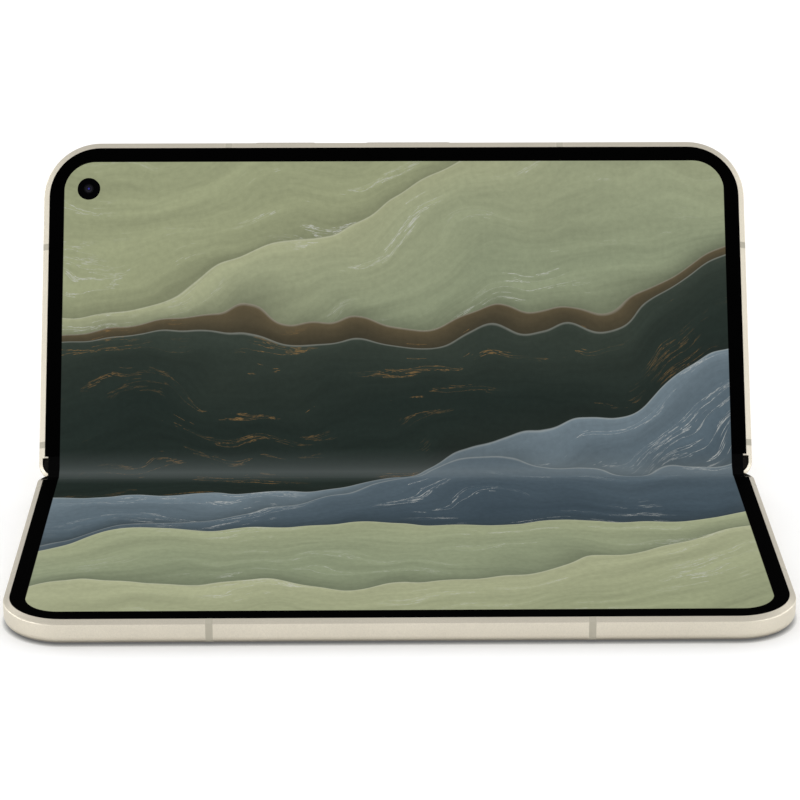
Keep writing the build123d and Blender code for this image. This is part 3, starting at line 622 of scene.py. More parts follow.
@dataclass(frozen=True)
class LensCoating(Finish):
    """Dark, curved lens element with a painted glint and painted coloured coating reflections round
    its centre.
    """

    centre: Vector
    reach: float
    deep: Colour = srgb(4, 4, 8)
    # painted glint at the centre
    painted_glint: Colour = srgb(52, 48, 150)
    # painted coloured reflection of the coating, in a ring near the edge
    rim: Colour = srgb(26, 22, 40)
    glint_end: float = 0.16  # this and the next two are shares of the reach
    deep_ring: Pair = (0.34, 0.60)
    painted_reflection_ring: Pair = (0.80, 0.94)
    haze: float = 900.0
    roughness: Pair = (0.02, 0.05)

    def paint(self, made: Recipe) -> None:
        """Lay the painted glint and painted reflection rings round the centre, under a thin clear
        coat.

        Args:
            made: The material in the making.
        """
        share = made.math("DIVIDE", made.away(self.centre), self.reach)
        rings = (
            (0.0, self.painted_glint),
            (self.glint_end, self.painted_glint),
            (self.deep_ring[0], self.deep),
            (self.deep_ring[1], self.deep),
            (self.painted_reflection_ring[0], self.rim),
            (self.painted_reflection_ring[1], self.deep),
        )
        haze = made.noise(made.place(), self.haze)
        made.set(Base_Color=made.ramp(share, rings), Roughness=made.vary(haze, self.roughness))
        made.set(Coat_Weight=0.05, Coat_Roughness=0.02, Specular_IOR_Level=0.12)


@dataclass(frozen=True)
class RingedLens(Finish):
    """Moulded flash lens with fine rings round its centre, warmer in the middle."""

    rim: Colour
    heart: Colour
    centre: Vector
    pitch: float = 0.22 * MM
    heart_reach: float = 0.9 * MM
    heart_core: float = 0.2  # share of the reach that is all heart
    roughness: Pair = (0.12, 0.3)
    depth: float = 4.0e-5

    def paint(self, made: Recipe) -> None:
        """Cut the rings, and turn the rim's colour into the heart's towards the centre.

        Args:
            made: The material in the making.
        """
        distance = made.away(self.centre)
        rings = made.math("FRACT", made.math("DIVIDE", distance, self.pitch))
        core = (self.heart_core * self.heart_reach, self.heart_reach)
        colour = made.blend(made.span(distance, core, (1.0, 0.0)), self.rim, self.heart)
        made.set(Base_Color=colour, Roughness=made.span(rings, (0.0, 1.0), self.roughness))
        made.bump(rings, self.depth)


@dataclass(frozen=True)
class WovenMesh(Finish):
    """Fine woven dust mesh: crossing wires over dark gaps."""

    colour: Colour
    pitch: float = 0.12 * MM
    wire: Pair = (0.8, 0.92)  # where the gap ends and the wire starts
    gap_shade: float = 0.08
    roughness: Pair = (0.6, 0.35)  # in the gaps and on the wires
    depth: float = 2.0e-5

    def paint(self, made: Recipe) -> None:
        """Cross two sets of round wires.

        Args:
            made: The material in the making.
        """
        split = made.node("ShaderNodeSeparateXYZ")
        made.feed(split.inputs[0], made.scaled(made.place(), (math.pi / self.pitch,) * 3))
        waves = [made.math("SINE", split.outputs[axis]) for axis in ("Y", "Z")]
        wires = made.math("MAXIMUM", *[made.math("ABSOLUTE", wave) for wave in waves])
        cover = made.span(wires, self.wire, (0.0, 1.0))
        gap = dimmed(self.colour, self.gap_shade)
        made.set(Base_Color=made.blend(cover, gap, self.colour), Metallic=0.8)
        made.set(Roughness=made.span(wires, (0.0, 1.0), self.roughness))
        made.bump(wires, self.depth)


@dataclass(frozen=True)
class CellPouch(Finish):
    """Laminated foil of a battery cell, lightly crinkled."""

    colour: Colour
    worn: Colour = srgb(120, 120, 124)
    crinkle: float = 260.0
    roughness: Pair = (0.35, 0.6)
    depth: float = 6.0e-5

    def paint(self, made: Recipe) -> None:
        """Vary colour, gloss and height with the crinkles.

        Args:
            made: The material in the making.
        """
        crinkles = made.noise(made.place(), self.crinkle, detail=5.0, rough=0.65)
        made.set(Base_Color=made.blend(crinkles, self.colour, self.worn))
        made.set(Metallic=0.7, Roughness=made.vary(crinkles, self.roughness))
        made.bump(crinkles, self.depth)


@dataclass(frozen=True)
class BoardMask(Finish):
    """Solder mask over fine copper tracks."""

    mask: Colour
    track: Colour
    fineness: float = 900.0  # scale of the pattern of tracks
    track_width: float = 0.12
    mottle: float = 500.0
    roughness: Pair = (0.3, 0.45)
    depth: float = 1.5e-5

    def paint(self, made: Recipe) -> None:
        """Lay the tracks round small fields of mottled mask.

        Args:
            made: The material in the making.
        """
        place = made.place()
        cells = made.node("ShaderNodeTexBrick")
        made.feed(cells.inputs["Vector"], place)
        cells.inputs["Scale"].default_value = self.fineness
        cells.inputs["Mortar Size"].default_value = self.track_width
        tracks = cells.outputs["Fac"]
        masked = made.math("SUBTRACT", 1.0, tracks)
        made.set(Base_Color=made.blend(masked, self.track, self.mask))
        made.set(Roughness=made.vary(made.noise(place, self.mottle), self.roughness))
        made.bump(tracks, self.depth)


@dataclass(frozen=True)
class WoundCopper(Finish):
    """Flat coil of enamelled wire: turns round a centre."""

    colour: Colour
    centre: Vector
    pitch: float = 0.8 * MM
    groove: Pair = (-1.0, -0.2)  # part of the wave that lies between two turns
    groove_shade: float = 0.35
    mottle: float = 900.0
    roughness: Pair = (0.25, 0.4)
    depth: float = 4.0e-5

    def paint(self, made: Recipe) -> None:
        """Wind the turns, dark between each two.

        Args:
            made: The material in the making.
        """
        phase = made.math("MULTIPLY", made.away(self.centre), math.tau / self.pitch)
        turns = made.math("SINE", phase)
        wire = made.span(turns, self.groove, (0.0, 1.0))
        groove = dimmed(self.colour, self.groove_shade)
        made.set(Base_Color=made.blend(wire, groove, self.colour), Metallic=1.0)
        mottle = made.noise(made.place(), self.mottle)
        made.set(Roughness=made.vary(mottle, self.roughness))
        made.bump(turns, self.depth)


class ScreenPart(Enum):
    """Parts of the inner screen that find their place in the picture differently."""

    BASE = "base"
    FOLD = "fold"
    LID = "lid"


@dataclass(frozen=True)
class Ribbon:
    """One soft layer of the screen's picture, lying over all that is above its edge."""

    level: float  # height of the edge in the middle of the screen
    swell: float
    waves: float
    phase: float
    edge: Colour
    deep: Colour
    vein: Colour
    reach: float = 0.34  # distance over which the edge colour turns into the deep one


@dataclass(frozen=True)
class LitScreen(Finish):
    """Inner screen that is switched on, showing soft flowing ribbons of colour.

    The picture is drawn on the flat screen: u along the hinge, v from the base half to the lid,
    both in half screen lengths.
    """

    part: ScreenPart
    phone: Phone
    half_lit: float = 73.1 * MM
    border: float = 0.12 * MM
    unit: float = 77.6 * MM
    off: Colour = srgb(3, 3, 3)
    flat_map: str = "flat"
    roughness: Pair = (0.30, 0.36)
    ripple: float = 24.0
    fine: float = 5000.0
    polish_depth: float = 1.0e-7
    sheen: float = 0.13  # painted sheen along the fold, a painted reflection that lifts dark colours there
    painted_sheen_reach: float = 0.08
    painted_sheen_fall: float = 1.5
    # colour of the painted sheen, a painted reflection along the fold
    haze: Colour = srgb(168, 176, 176)
    tilt: float = 0.22
    cut: float = 3.7  # height at which the picture's plane cuts the noises
    bend: float = 0.07  # how far a slow noise bends the ribbons
    bend_scale: float = 2.4
    edge_soft: float = 0.0015
    shade: Colour = srgb(34, 38, 34)  # shadow that a ribbon throws on what lies above it
    shade_reach: float = 0.11
    shade_fall: float = 2.0
    shade_weight: float = 0.34
    rim: Colour = srgb(206, 206, 196)  # light line along a ribbon's edge
    rim_width: float = 0.006
    rim_weight: float = 0.28
    silk_scale: Pair = (1.6, 15.0)  # along a ribbon and across it
    silk_tone: Pair = (0.80, 1.20)
    grain_scale: float = 60.0
    grain_tone: Pair = (0.94, 1.06)
    vein_level: float = 0.56  # value of the silk along which the veins run
    vein_width: float = 0.007
    vein_scale: float = 3.2
    vein_start: Pair = (0.45, 0.60)
    vein_weight: float = 0.72
    sky: Colour = srgb(150, 155, 122)
    ribbons: tuple[Ribbon, ...] = (
        Ribbon(0.76, 0.10, 2.3, 0.4, srgb(166, 169, 135), srgb(136, 144, 117), PALE),
        Ribbon(0.485, 0.115, 2.6, 3.45, srgb(104, 92, 68), srgb(58, 54, 42), GOLD, 0.09),
        Ribbon(0.44, 0.12, 2.6, 3.6, srgb(58, 66, 58), srgb(33, 42, 38), GOLD, 0.22),
        Ribbon(0.05, 0.12, 2.1, 5.2, srgb(116, 130, 138), srgb(78, 92, 101), PALE, 0.26),
        Ribbon(-0.15, 0.10, 2.9, 0.9, srgb(90, 104, 113), srgb(60, 73, 82), PALE, 0.26),
        Ribbon(-0.38, 0.11, 1.8, 2.9, srgb(160, 165, 132), srgb(134, 143, 116), PALE, 0.32),
        Ribbon(-0.66, 0.09, 2.7, 4.4, srgb(168, 171, 138), srgb(146, 152, 120), PALE, 0.40),
    )

    def paint(self, made: Recipe) -> None:
        """Light the picture inside the border, with a painted sheen along the fold, under dark dull
        film.

        Args:
            made: The material in the making.
        """
        u, v = self._flat_place(made)
        # Painted sheen: a painted reflection along the fold lifts the picture towards the haze
        # colour.
        near_fold = made.span(made.math("ABSOLUTE", v), (0.0, self.painted_sheen_reach), (1.0, 0.0))
        sheen = made.math("POWER", near_fold, self.painted_sheen_fall)
        painted_sheen_share = made.math("MULTIPLY", sheen, self.sheen)
        picture = made.blend(painted_sheen_share, self._picture(made, u, v), self.haze)
        fade = ((self.half_lit - self.border) / self.unit, self.half_lit / self.unit)
        lit = made.span(made.math("ABSOLUTE", u), fade, (1.0, 0.0))
        made.set(Base_Color=self.off, Emission_Color=made.blend(lit, BLACK, picture))
        ripples = made.noise(made.place(), self.ripple)
        made.set(Roughness=made.vary(ripples, self.roughness), Specular_IOR_Level=0.02)
        made.set(Emission_Strength=1.0)
        made.bump(made.noise(made.place(), self.fine), self.polish_depth)

    def _flat_place(self, made: Recipe) -> tuple[Socket, Socket]:
        """Find this part's place on the flat screen.

        Args:
            made: The material in the making.

        Returns:
            Sockets of u and v.
        """
        if self.part is ScreenPart.FOLD:
            flat = made.node("ShaderNodeUVMap", uv_map=self.flat_map)
            split = made.node("ShaderNodeSeparateXYZ")
            made.feed(split.inputs[0], flat.outputs["UV"])
            return split.outputs["X"], split.outputs["Y"]
        half = self.phone.base if self.part is ScreenPart.BASE else self.phone.lid
        side = -1.0 if self.part is ScreenPart.BASE else 1.0
        place = made.place()
        across = made.along(place, half.origin, Vector((1, 0, 0)))
        out = made.along(place, half.origin, side * half.out)
        return made.math("DIVIDE", across, self.unit), made.math("DIVIDE", out, self.unit)

    def _picture(self, made: Recipe, u: Socket, v: Socket) -> Socket:
        """Lay the ribbons over the sky, from the highest to the lowest.

        Args:
            made: The material in the making.
            u, v: Place on the flat screen.

        Returns:
            Colour of the picture.
        """
        flat = made.node("ShaderNodeCombineXYZ")
        for target, value in zip(flat.inputs, (u, v, self.cut)):
            made.feed(target, value)
        point = flat.outputs["Vector"]
        slow = made.noise(point, self.bend_scale, rough=0.45)
        bend = made.vary(slow, (-self.bend, self.bend))
        height = made.math("SUBTRACT", v, made.math("MULTIPLY_ADD", u, self.tilt, bend))
        layers: tuple[object, ...] = (self.sky, PALE, made.math("SUBTRACT", 1.0, height))
        for ribbon in self.ribbons:
            layers = self._lay(made, ribbon, (u, height), layers)
        return self._threads(made, u, point, layers)

    def _lay(
        self,
        made: Recipe,
        ribbon: Ribbon,
        place: tuple[Socket, Socket],
        layers: tuple[object, ...],
    ) -> tuple[Socket, ...]:
        """Lay one ribbon over the picture so far, with a soft shade above its edge.

        Args:
            made: The material in the making.
            ribbon: The layer to lay.
            place: Place along the hinge, and height of the bent picture.
            layers: Colour, vein colour and depth under the edge of the picture so far.

        Returns:
            The same three with the ribbon laid over them.
        """
        u, height = place
        under, vein, depth = layers
        wave = made.math("SINE", made.math("MULTIPLY_ADD", u, ribbon.waves, ribbon.phase))
        edge = made.math("MULTIPLY_ADD", wave, ribbon.swell, ribbon.level)
        inside = made.math("SUBTRACT", edge, height)
        cover = made.span(inside, (-self.edge_soft, self.edge_soft), (0.0, 1.0))
        near = made.span(inside, (-self.shade_reach, 0.0), (0.0, 1.0))
        dark = made.math("MULTIPLY", made.math("POWER", near, self.shade_fall), self.shade_weight)
        shaded = made.blend(dark, under, self.shade)
        turn = made.math("SQRT", made.span(inside, (0.0, ribbon.reach), (0.0, 1.0)))
        body = made.blend(turn, ribbon.edge, ribbon.deep)
        line = made.span(inside, (0.0, self.rim_width), (1.0, 0.0))
        body = made.blend(made.math("MULTIPLY", line, self.rim_weight), body, self.rim)
        further = made.math("MULTIPLY", made.math("SUBTRACT", inside, depth), cover)
        veined = made.blend(cover, vein, ribbon.vein)
        return made.blend(cover, shaded, body), veined, made.math("ADD", depth, further)

    def _threads(
        self, made: Recipe, u: Socket, point: Socket, layers: tuple[Socket, ...]
    ) -> Socket:
        """Draw fine silky threads along the ribbons, and broken veins of a lighter tone.

        Args:
            made: The material in the making.
            u: Place along the hinge.
            point: Place on the flat screen, as a vector.
            layers: Colour, vein colour and depth under the edge of the picture.

        Returns:
            Colour of the finished picture.
        """
        colour, vein, depth = layers
        run = made.node("ShaderNodeCombineXYZ")
        for target, value, scale in zip(run.inputs, (u, depth), self.silk_scale):
            made.feed(target, made.math("MULTIPLY", value, scale))
        silk = made.noise(run.outputs["Vector"], 1.0, detail=6.0, rough=0.62)
        grain = made.noise(point, self.grain_scale, detail=4.0, rough=0.6)
        sheen = made.vary(silk, self.silk_tone, spread=0.25)
        level = made.math("MULTIPLY", sheen, made.vary(grain, self.grain_tone))
        colour = made.blend(1.0, colour, made.toned(WHITE, level), "MULTIPLY")
        distance = made.math("ABSOLUTE", made.math("SUBTRACT", silk, self.vein_level))
        line = made.span(distance, (0.0, self.vein_width), (1.0, 0.0))
        patches = made.noise(point, self.vein_scale, detail=4.0)
        broken = made.span(patches, self.vein_start, (0.0, self.vein_weight))
        return made.blend(made.math("MULTIPLY", line, broken), colour, vein)


# ---- Meshes ----------------------------------------------------------------------------------
def piece_from(
    name: str, shape: bmesh.types.BMesh, material: bpy.types.Material
) -> bpy.types.Object:
    """Turn a finished mesh into an object of the scene.

    Args:
        name: The object's name.
        shape: The mesh in row metres; it is freed here.
        material: The finish of the whole piece.

    Returns:
        The linked object.
    """
    bmesh.ops.recalc_face_normals(shape, faces=shape.faces)
    mesh = bpy.data.meshes.new(name)
    shape.to_mesh(mesh)
    shape.free()
    mesh.materials.append(material)
    made = bpy.data.objects.new(name, mesh)
    bpy.context.scene.collection.objects.link(made)
    return made


def smooth(made: bpy.types.Object, angle: float = math.radians(35)) -> bpy.types.Object:
    """Shade a piece smooth, and keep its sharp edges.

    Args:
        made: The piece.
        angle: Edges that turn by more than this stay sharp.

    Returns:
        The same piece.
    """
    for polygon in made.data.polygons:
        polygon.use_smooth = True
    shape = bmesh.new()
    shape.from_mesh(made.data)
    for edge in shape.edges:
        if len(edge.link_faces) == 2 and edge.calc_face_angle() > angle:
            edge.smooth = False
    shape.to_mesh(made.data)
    shape.free()
    return made


def lathe(
    name: str,
    profile: Profile,
    place: Matrix,
    material: bpy.types.Material,
    sides: int = 48,
) -> bpy.types.Object:
    """Turn a piece from a closed profile.

    Args:
        name: The object's name.
        profile: Points of the section in millimetres; a radius of zero lies on the axis.
        place: Transform from the turning frame, with Z as the axis, to the row frame.
        material: The finish.
        sides: Facets round the axis.

    Returns:
        The piece.
    """
    shape = bmesh.new()
    turns = [math.tau * i / sides for i in range(sides)]
    rings = []
    for radius, height in profile:
        wide, level = radius * MM, height * MM
        angles = turns if radius else turns[:1]
        points = [(wide * math.cos(a), wide * math.sin(a), level) for a in angles]
        rings.append([shape.verts.new(point) for point in points])
    for low, high in zip(rings, rings[1:] + rings[:1]):
        for i in range(sides):
            j = (i + 1) % sides
            round_it = ((low, i), (low, j), (high, j), (high, i))
            corners = list(dict.fromkeys(ring[k % len(ring)] for ring, k in round_it))
            if len(corners) > 2:
                shape.faces.new(corners)
    shape.transform(place)
    return smooth(piece_from(name, shape, material))


def bars_from(
    name: str, bars: list[tuple[Vector, Vector]], place: Matrix, material: bpy.types.Material
) -> bpy.types.Object:
    """One piece of small square bars with softened edges.

    Args:
        name: The object's name.
        bars: Lowest and highest corner of each bar.
        place: Transform from the bars' frame to the row frame.
        material: The finish.

    Returns:
        The piece.
    """
    softening = 0.2  # share of a bar's least size that its edges lose
    shape = bmesh.new()
    for low, high in bars:
        verts = bmesh.ops.create_cube(shape, size=1.0)["verts"]
        size = high - low
        bmesh.ops.scale(shape, vec=size, verts=verts)
        bmesh.ops.translate(shape, vec=(low + high) / 2, verts=verts)
        edges = list({edge for vert in verts for edge in vert.link_edges})
        offset = softening * min(size)
        bmesh.ops.bevel(shape, geom=edges, offset=offset, segments=2, affect="EDGES")
    shape.transform(place)
    return smooth(piece_from(name, shape, material))


# ---- Sub-assemblies --------------------------------------------------------------------------
@dataclass
class Part:
    """Common ground of the sub-assemblies: the frames, the CAD nodes and the log."""

    phone: Phone
    nodes: dict[str, bpy.types.Object]

    def dress(self, material: bpy.types.Material, *names: str) -> None:
        """Give CAD nodes a finish.

        Args:
            material: The finish.
            *names: The nodes.
        """
        for name in names:
            slots = self.nodes[name].data.materials
            for index in range(len(slots)):
                slots[index] = material
            log.info("dressed %s in %s", name, material.name)

    def add(self, made: bpy.types.Object, body: str, slot: str) -> None:
        """Let a new piece ride on a body.

        Args:
            made: The piece.
            body: The CAD body that carries it.
            slot: Not used.
        """
        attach(made, body)
        log.info("added %s on %s", made.name, body)


@dataclass
class FoldZone(Part):
    """Part of the inner screen that bends: two skins, each turning from the spine to one half."""

    bend_reach: float = 3.2 * MM
    steps: int = 26
    settle_rounds: int = 60  # enough for a point's share of the turn to stand still
    half_width: float = field(init=False)
    rigid_out: float = field(init=False)
    thick: float = field(init=False)

    def __post_init__(self) -> None:
        """Read the zone's width, its reach and the screen's thickness from the CAD."""
        low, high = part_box("base_display")
        self.half_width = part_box("display_fold")[1].x
        self.rigid_out = self.phone.base.origin.y - high.y
        self.thick = high.z - low.z

    def build(self) -> None:
        """Build both skins in the rest pose and blend each across its hinge."""
        material = LitScreen(ScreenPart.FOLD, self.phone).build("screen_fold_lit")
        for side, body in ((-1.0, "base"), (1.0, "lid")):
            self._skin(side, body, material)

    def _bent(self, side: float, out: float, up: float, share: float) -> Vector:
        """Rest place of a flat point whose turn is a share of the half's turn.

        Args:
            side: 1 for the lid's skin, -1 for the base's.
            out, up: The point on the flat screen.
            share: How much of the half's turn it makes, 0 to 1.

        Returns:
            The row point, in the middle of the hinge.
        """
        axis = Vector((side * self.phone.axis_out, -self.phone.axis_drop))
        turn = side * self.phone.half_turn * share
        away = Vector((side * out, up)) - axis
        turned_out = away.x * math.cos(turn) - away.y * math.sin(turn)
        turned_up = away.x * math.sin(turn) + away.y * math.cos(turn)
        return self.phone.spine.point(0.0, *(axis + Vector((turned_out, turned_up))))

    def _settled(self, side: float, out: float, up: float, line: tuple[Vector, Vector]) -> Vector:
        """Rest place of a flat point, whose share of the turn is a smooth step of its place along
        the line.

        Args:
            side: 1 for the lid's skin, -1 for the base's.
            out, up: The point on the flat screen.
            line: Where the blend starts and ends.

        Returns:
            The row point, in the middle of the hinge.
        """
        start, end = line
        span = end - start
        share = min(max(out / self.bend_reach, 0.0), 1.0)
        for _ in range(self.settle_rounds):
            place = self._bent(side, out, up, share)
            t = min(max((place - start).dot(span) / span.length_squared, 0.0), 1.0)
            share = t * t * (3 - 2 * t)
        return self._bent(side, out, up, share)

    def _skin(self, side: float, body: str, material: bpy.types.Material) -> None:
        """Build one skin as a closed sheet with its flat place kept as a map.

        Args:
            side: 1 for the lid's skin, -1 for the base's.
            body: The half at the skin's outer end; it goes into the skin's name.
            material: The finish.
        """
        start = self._bent(side, 0.0, 0.0, 0.0)
        end = self._bent(side, self.bend_reach, 0.0, 1.0)
        shape = bmesh.new()
        flat = shape.loops.layers.uv.new(LitScreen.flat_map)
        outs = [self.rigid_out * i / self.steps for i in range(self.steps + 1)]
        loop = [(out, 0.0) for out in outs] + [(out, -self.thick) for out in reversed(outs)]
        places = [self._settled(side, out, up, (start, end)) for out, up in loop]
        ends = []
        flat_of = {}
        for x in (-self.half_width, self.half_width):
            verts = [shape.verts.new(place + Vector((x, 0, 0))) for place in places]
            for vert, (out, _) in zip(verts, loop):
                flat_of[vert] = (x / LitScreen.unit, side * out / LitScreen.unit)
            ends.append(verts)
        first, last = ends
        count = len(loop)
        for i in range(count):
            j = (i + 1) % count
            shape.faces.new((first[i], first[j], last[j], last[i]))
        for verts in ends:
            for i in range(self.steps):
                across = (verts[count - 2 - i], verts[count - 1 - i])
                shape.faces.new((verts[i], verts[i + 1], *across))
        for face in shape.faces:
            for corner in face.loops:
                corner[flat].uv = flat_of[corner.vert]
        made = smooth(piece_from(f"fold_skin_{body}", shape, material))
        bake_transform(made)
        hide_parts("display_fold")


@dataclass
class InnerScreen(Part):
    """Rigid parts of the inner screen and the black frame round it."""

    bezel: Finish = Moulding(srgb(3, 3, 3), depth=1.0e-6, specular=0.001)

    def build(self) -> None:
        """Dress the panels and the bezels."""
        for part in (ScreenPart.BASE, ScreenPart.LID):
            lit = LitScreen(part, self.phone).build(f"screen_{part.value}_lit")
            self.dress(lit, f"{part.value}_display")
        self.dress(self.bezel.build("bezel_soft_black"), "base_bezel", "lid_bezel")


@dataclass
class Shell(Part):
    """Metal frames, antenna bands, outer glasses, keys and tray."""

    metal: Finish = BlastedMetal(CHAMPAGNE)
    keys: Finish = BlastedMetal(CHAMPAGNE, roughness=0.22, grain=7000.0, depth=1.0e-6)
    bands: Finish = Moulding(srgb(190, 184, 167), roughness=0.42, specular=0.3)
    glass: Finish = CoatedGlass(srgb(6, 6, 8))
    panel: Finish = CoatedGlass(srgb(4, 4, 5), roughness=0.2)
    back: Finish = CoatedGlass(srgb(214, 207, 190), roughness=0.34, etch=2.0e-6)
    seals: Finish = Moulding(srgb(30, 26, 20), roughness=0.7, specular=0.2)

    def build(self) -> None:
        """Dress the shell's nodes."""
        self.dress(self.metal.build("frame_blasted"), "base_frame", "lid_frame")
        self.dress(self.keys.build("keys_satin"), "power_button", "volume_rocker", "sim_tray")
        bands = self.bands.build("band_moulding")
        self.dress(bands, "base_antenna_bands", "lid_antenna_bands")
        self.dress(self.glass.build("cover_glass_black"), "cover_glass")
        self.dress(self.panel.build("cover_panel_dark"), "cover_panel")
        self.dress(self.back.build("back_glass_satin"), "back_glass")
        self.dress(self.seals.build("seal_rubber"), "base_rail_seals", "lid_rail_seals")


@dataclass
class Hinge(Part):
    """Spine cover, caps, housings, brackets, gears and screws."""

    modules: tuple[str, ...] = ("left", "centre", "right")
    geared: tuple[str, ...] = ("left", "right")
    halves: tuple[str, ...] = ("base", "lid")
    cover: Finish = BlastedMetal(srgb(220, 213, 196), roughness=0.16, grain=9000.0, depth=5.0e-7)
    caps: Finish = Moulding(srgb(10, 10, 11))
    steel: Finish = SteelSheet(srgb(178, 176, 172))
    gears: Finish = SteelSheet(srgb(196, 188, 168), roughness=0.3)
    screws: Finish = SteelSheet(srgb(150, 148, 146), roughness=0.28)

    def build(self) -> None:
        """Dress the hinge's nodes."""
        self.dress(self.cover.build("spine_polished"), "spine_cover")
        self.dress(self.caps.build("cap_moulding"), "spine_cap_left", "spine_cap_right")
        steel = self.steel.build("hinge_sintered")
        for kind in ("hinge_housing", "base_bracket", "lid_bracket"):
            self.dress(steel, *[f"{kind}_{module}" for module in self.modules])
        gears = self.gears.build("gear_sintered")
        for half in self.halves:
            self.dress(gears, *[f"idler_{half}_{module}" for module in self.geared])
        screws = self.screws.build("screw_black_steel")
        self.dress(screws, *[f"{half}_bracket_screws" for half in self.halves])


@dataclass
class Inside(Part):
    """Cells, boards, modules and coil behind the screens, and what shows in the side openings.

    Sizes are in millimetres on the lid half.
    """

    contact_count: int = 12
    contact_pitch: float = 0.5
    contact_half: float = 0.125
    contact_rise: float = 0.02
    contact_start: float = 72.4
    contact_end: float = 75.3
    tongue_out: float = 37.5
    tongue_up: float = -2.93
    tongue_half: float = 0.35
    hole_count: int = 5
    hole_pitch: float = 2.1
    holes_out: float = 57.4
    holes_up: float = -2.75
    mesh_x: float = 76.6
    mesh_sides: int = 32
    mesh_section: Profile = ((0.0, 0.0), (0.54, 0.0), (0.54, 0.06), (0.3, 0.03), (0.0, 0.02))
    cell: Finish = CellPouch(srgb(66, 66, 70))
    board: Finish = BoardMask(srgb(18, 60, 42), srgb(120, 110, 60))
    module: Finish = Moulding(srgb(42, 42, 44), roughness=0.6)
    sheet: Finish = SteelSheet(srgb(196, 196, 196), roughness=0.3)
    gold: Finish = SteelSheet(srgb(214, 178, 96), roughness=0.25)
    weave: Finish = WovenMesh(srgb(52, 52, 54))
    copper: Colour = srgb(212, 150, 104)

    def build(self) -> None:
        """Dress the inner nodes, and add the contacts and the speaker's mesh."""
        self.dress(self.cell.build("cell_foil"), "base_battery", "lid_battery")
        self.dress(self.board.build("board_mask"), "sub_board", "main_board")
        module = self.module.build("module_moulding")
        self.dress(module, "haptic_motor", "earpiece", "loudspeaker", "side_switches")
        self.dress(self.sheet.build("sheet_stamped"), "sim_reader", "shield_can", "usb_port")
        self._contacts()
        self._speaker_mesh()
        low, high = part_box("charging_coil")
        coil = WoundCopper(self.copper, (low + high) / 2)
        self.dress(coil.build("coil_wound"), "charging_coil")

    def _in_row(self, index: int, count: int, pitch: float) -> float:
        """Offset of one of a row of like things from the row's middle."""
        return (index - (count - 1) / 2) * pitch

    def _contacts(self) -> None:
        """Gold contacts on both faces of the charging socket's tongue."""
        bars = []
        for index in range(self.contact_count):
            out = self.tongue_out + self._in_row(index, self.contact_count, self.contact_pitch)
            for face in (-1, 1):
                up = self.tongue_up + face * self.tongue_half
                low = (self.contact_start, out - self.contact_half, up - self.contact_rise)
                high = (self.contact_end, out + self.contact_half, up + self.contact_rise)
                bars.append((Vector(low) * MM, Vector(high) * MM))
        gold = self.gold.build("contact_gold")
        contacts = bars_from("usb_contacts", bars, self.phone.lid.matrix(), gold)
        self.add(contacts, "lid", "sheet_steel")

    def _speaker_mesh(self) -> None:
        """Fine dust mesh behind each of the loudspeaker's holes."""
        weave = self.weave.build("dust_mesh")
        sideways = Matrix.Rotation(math.radians(90), 4, "Y")
        for index in range(self.hole_count):
            out = self.holes_out + self._in_row(index, self.hole_count, self.hole_pitch)
            where = Matrix.Translation(Vector((self.mesh_x, out, self.holes_up)) * MM)
            turned = self.phone.lid.matrix() @ where @ sideways
            name = f"speaker_mesh_{index + 1}"
            made = lathe(name, self.mesh_section, turned, weave, self.mesh_sides)
            self.add(made, "lid", "sheet_steel")


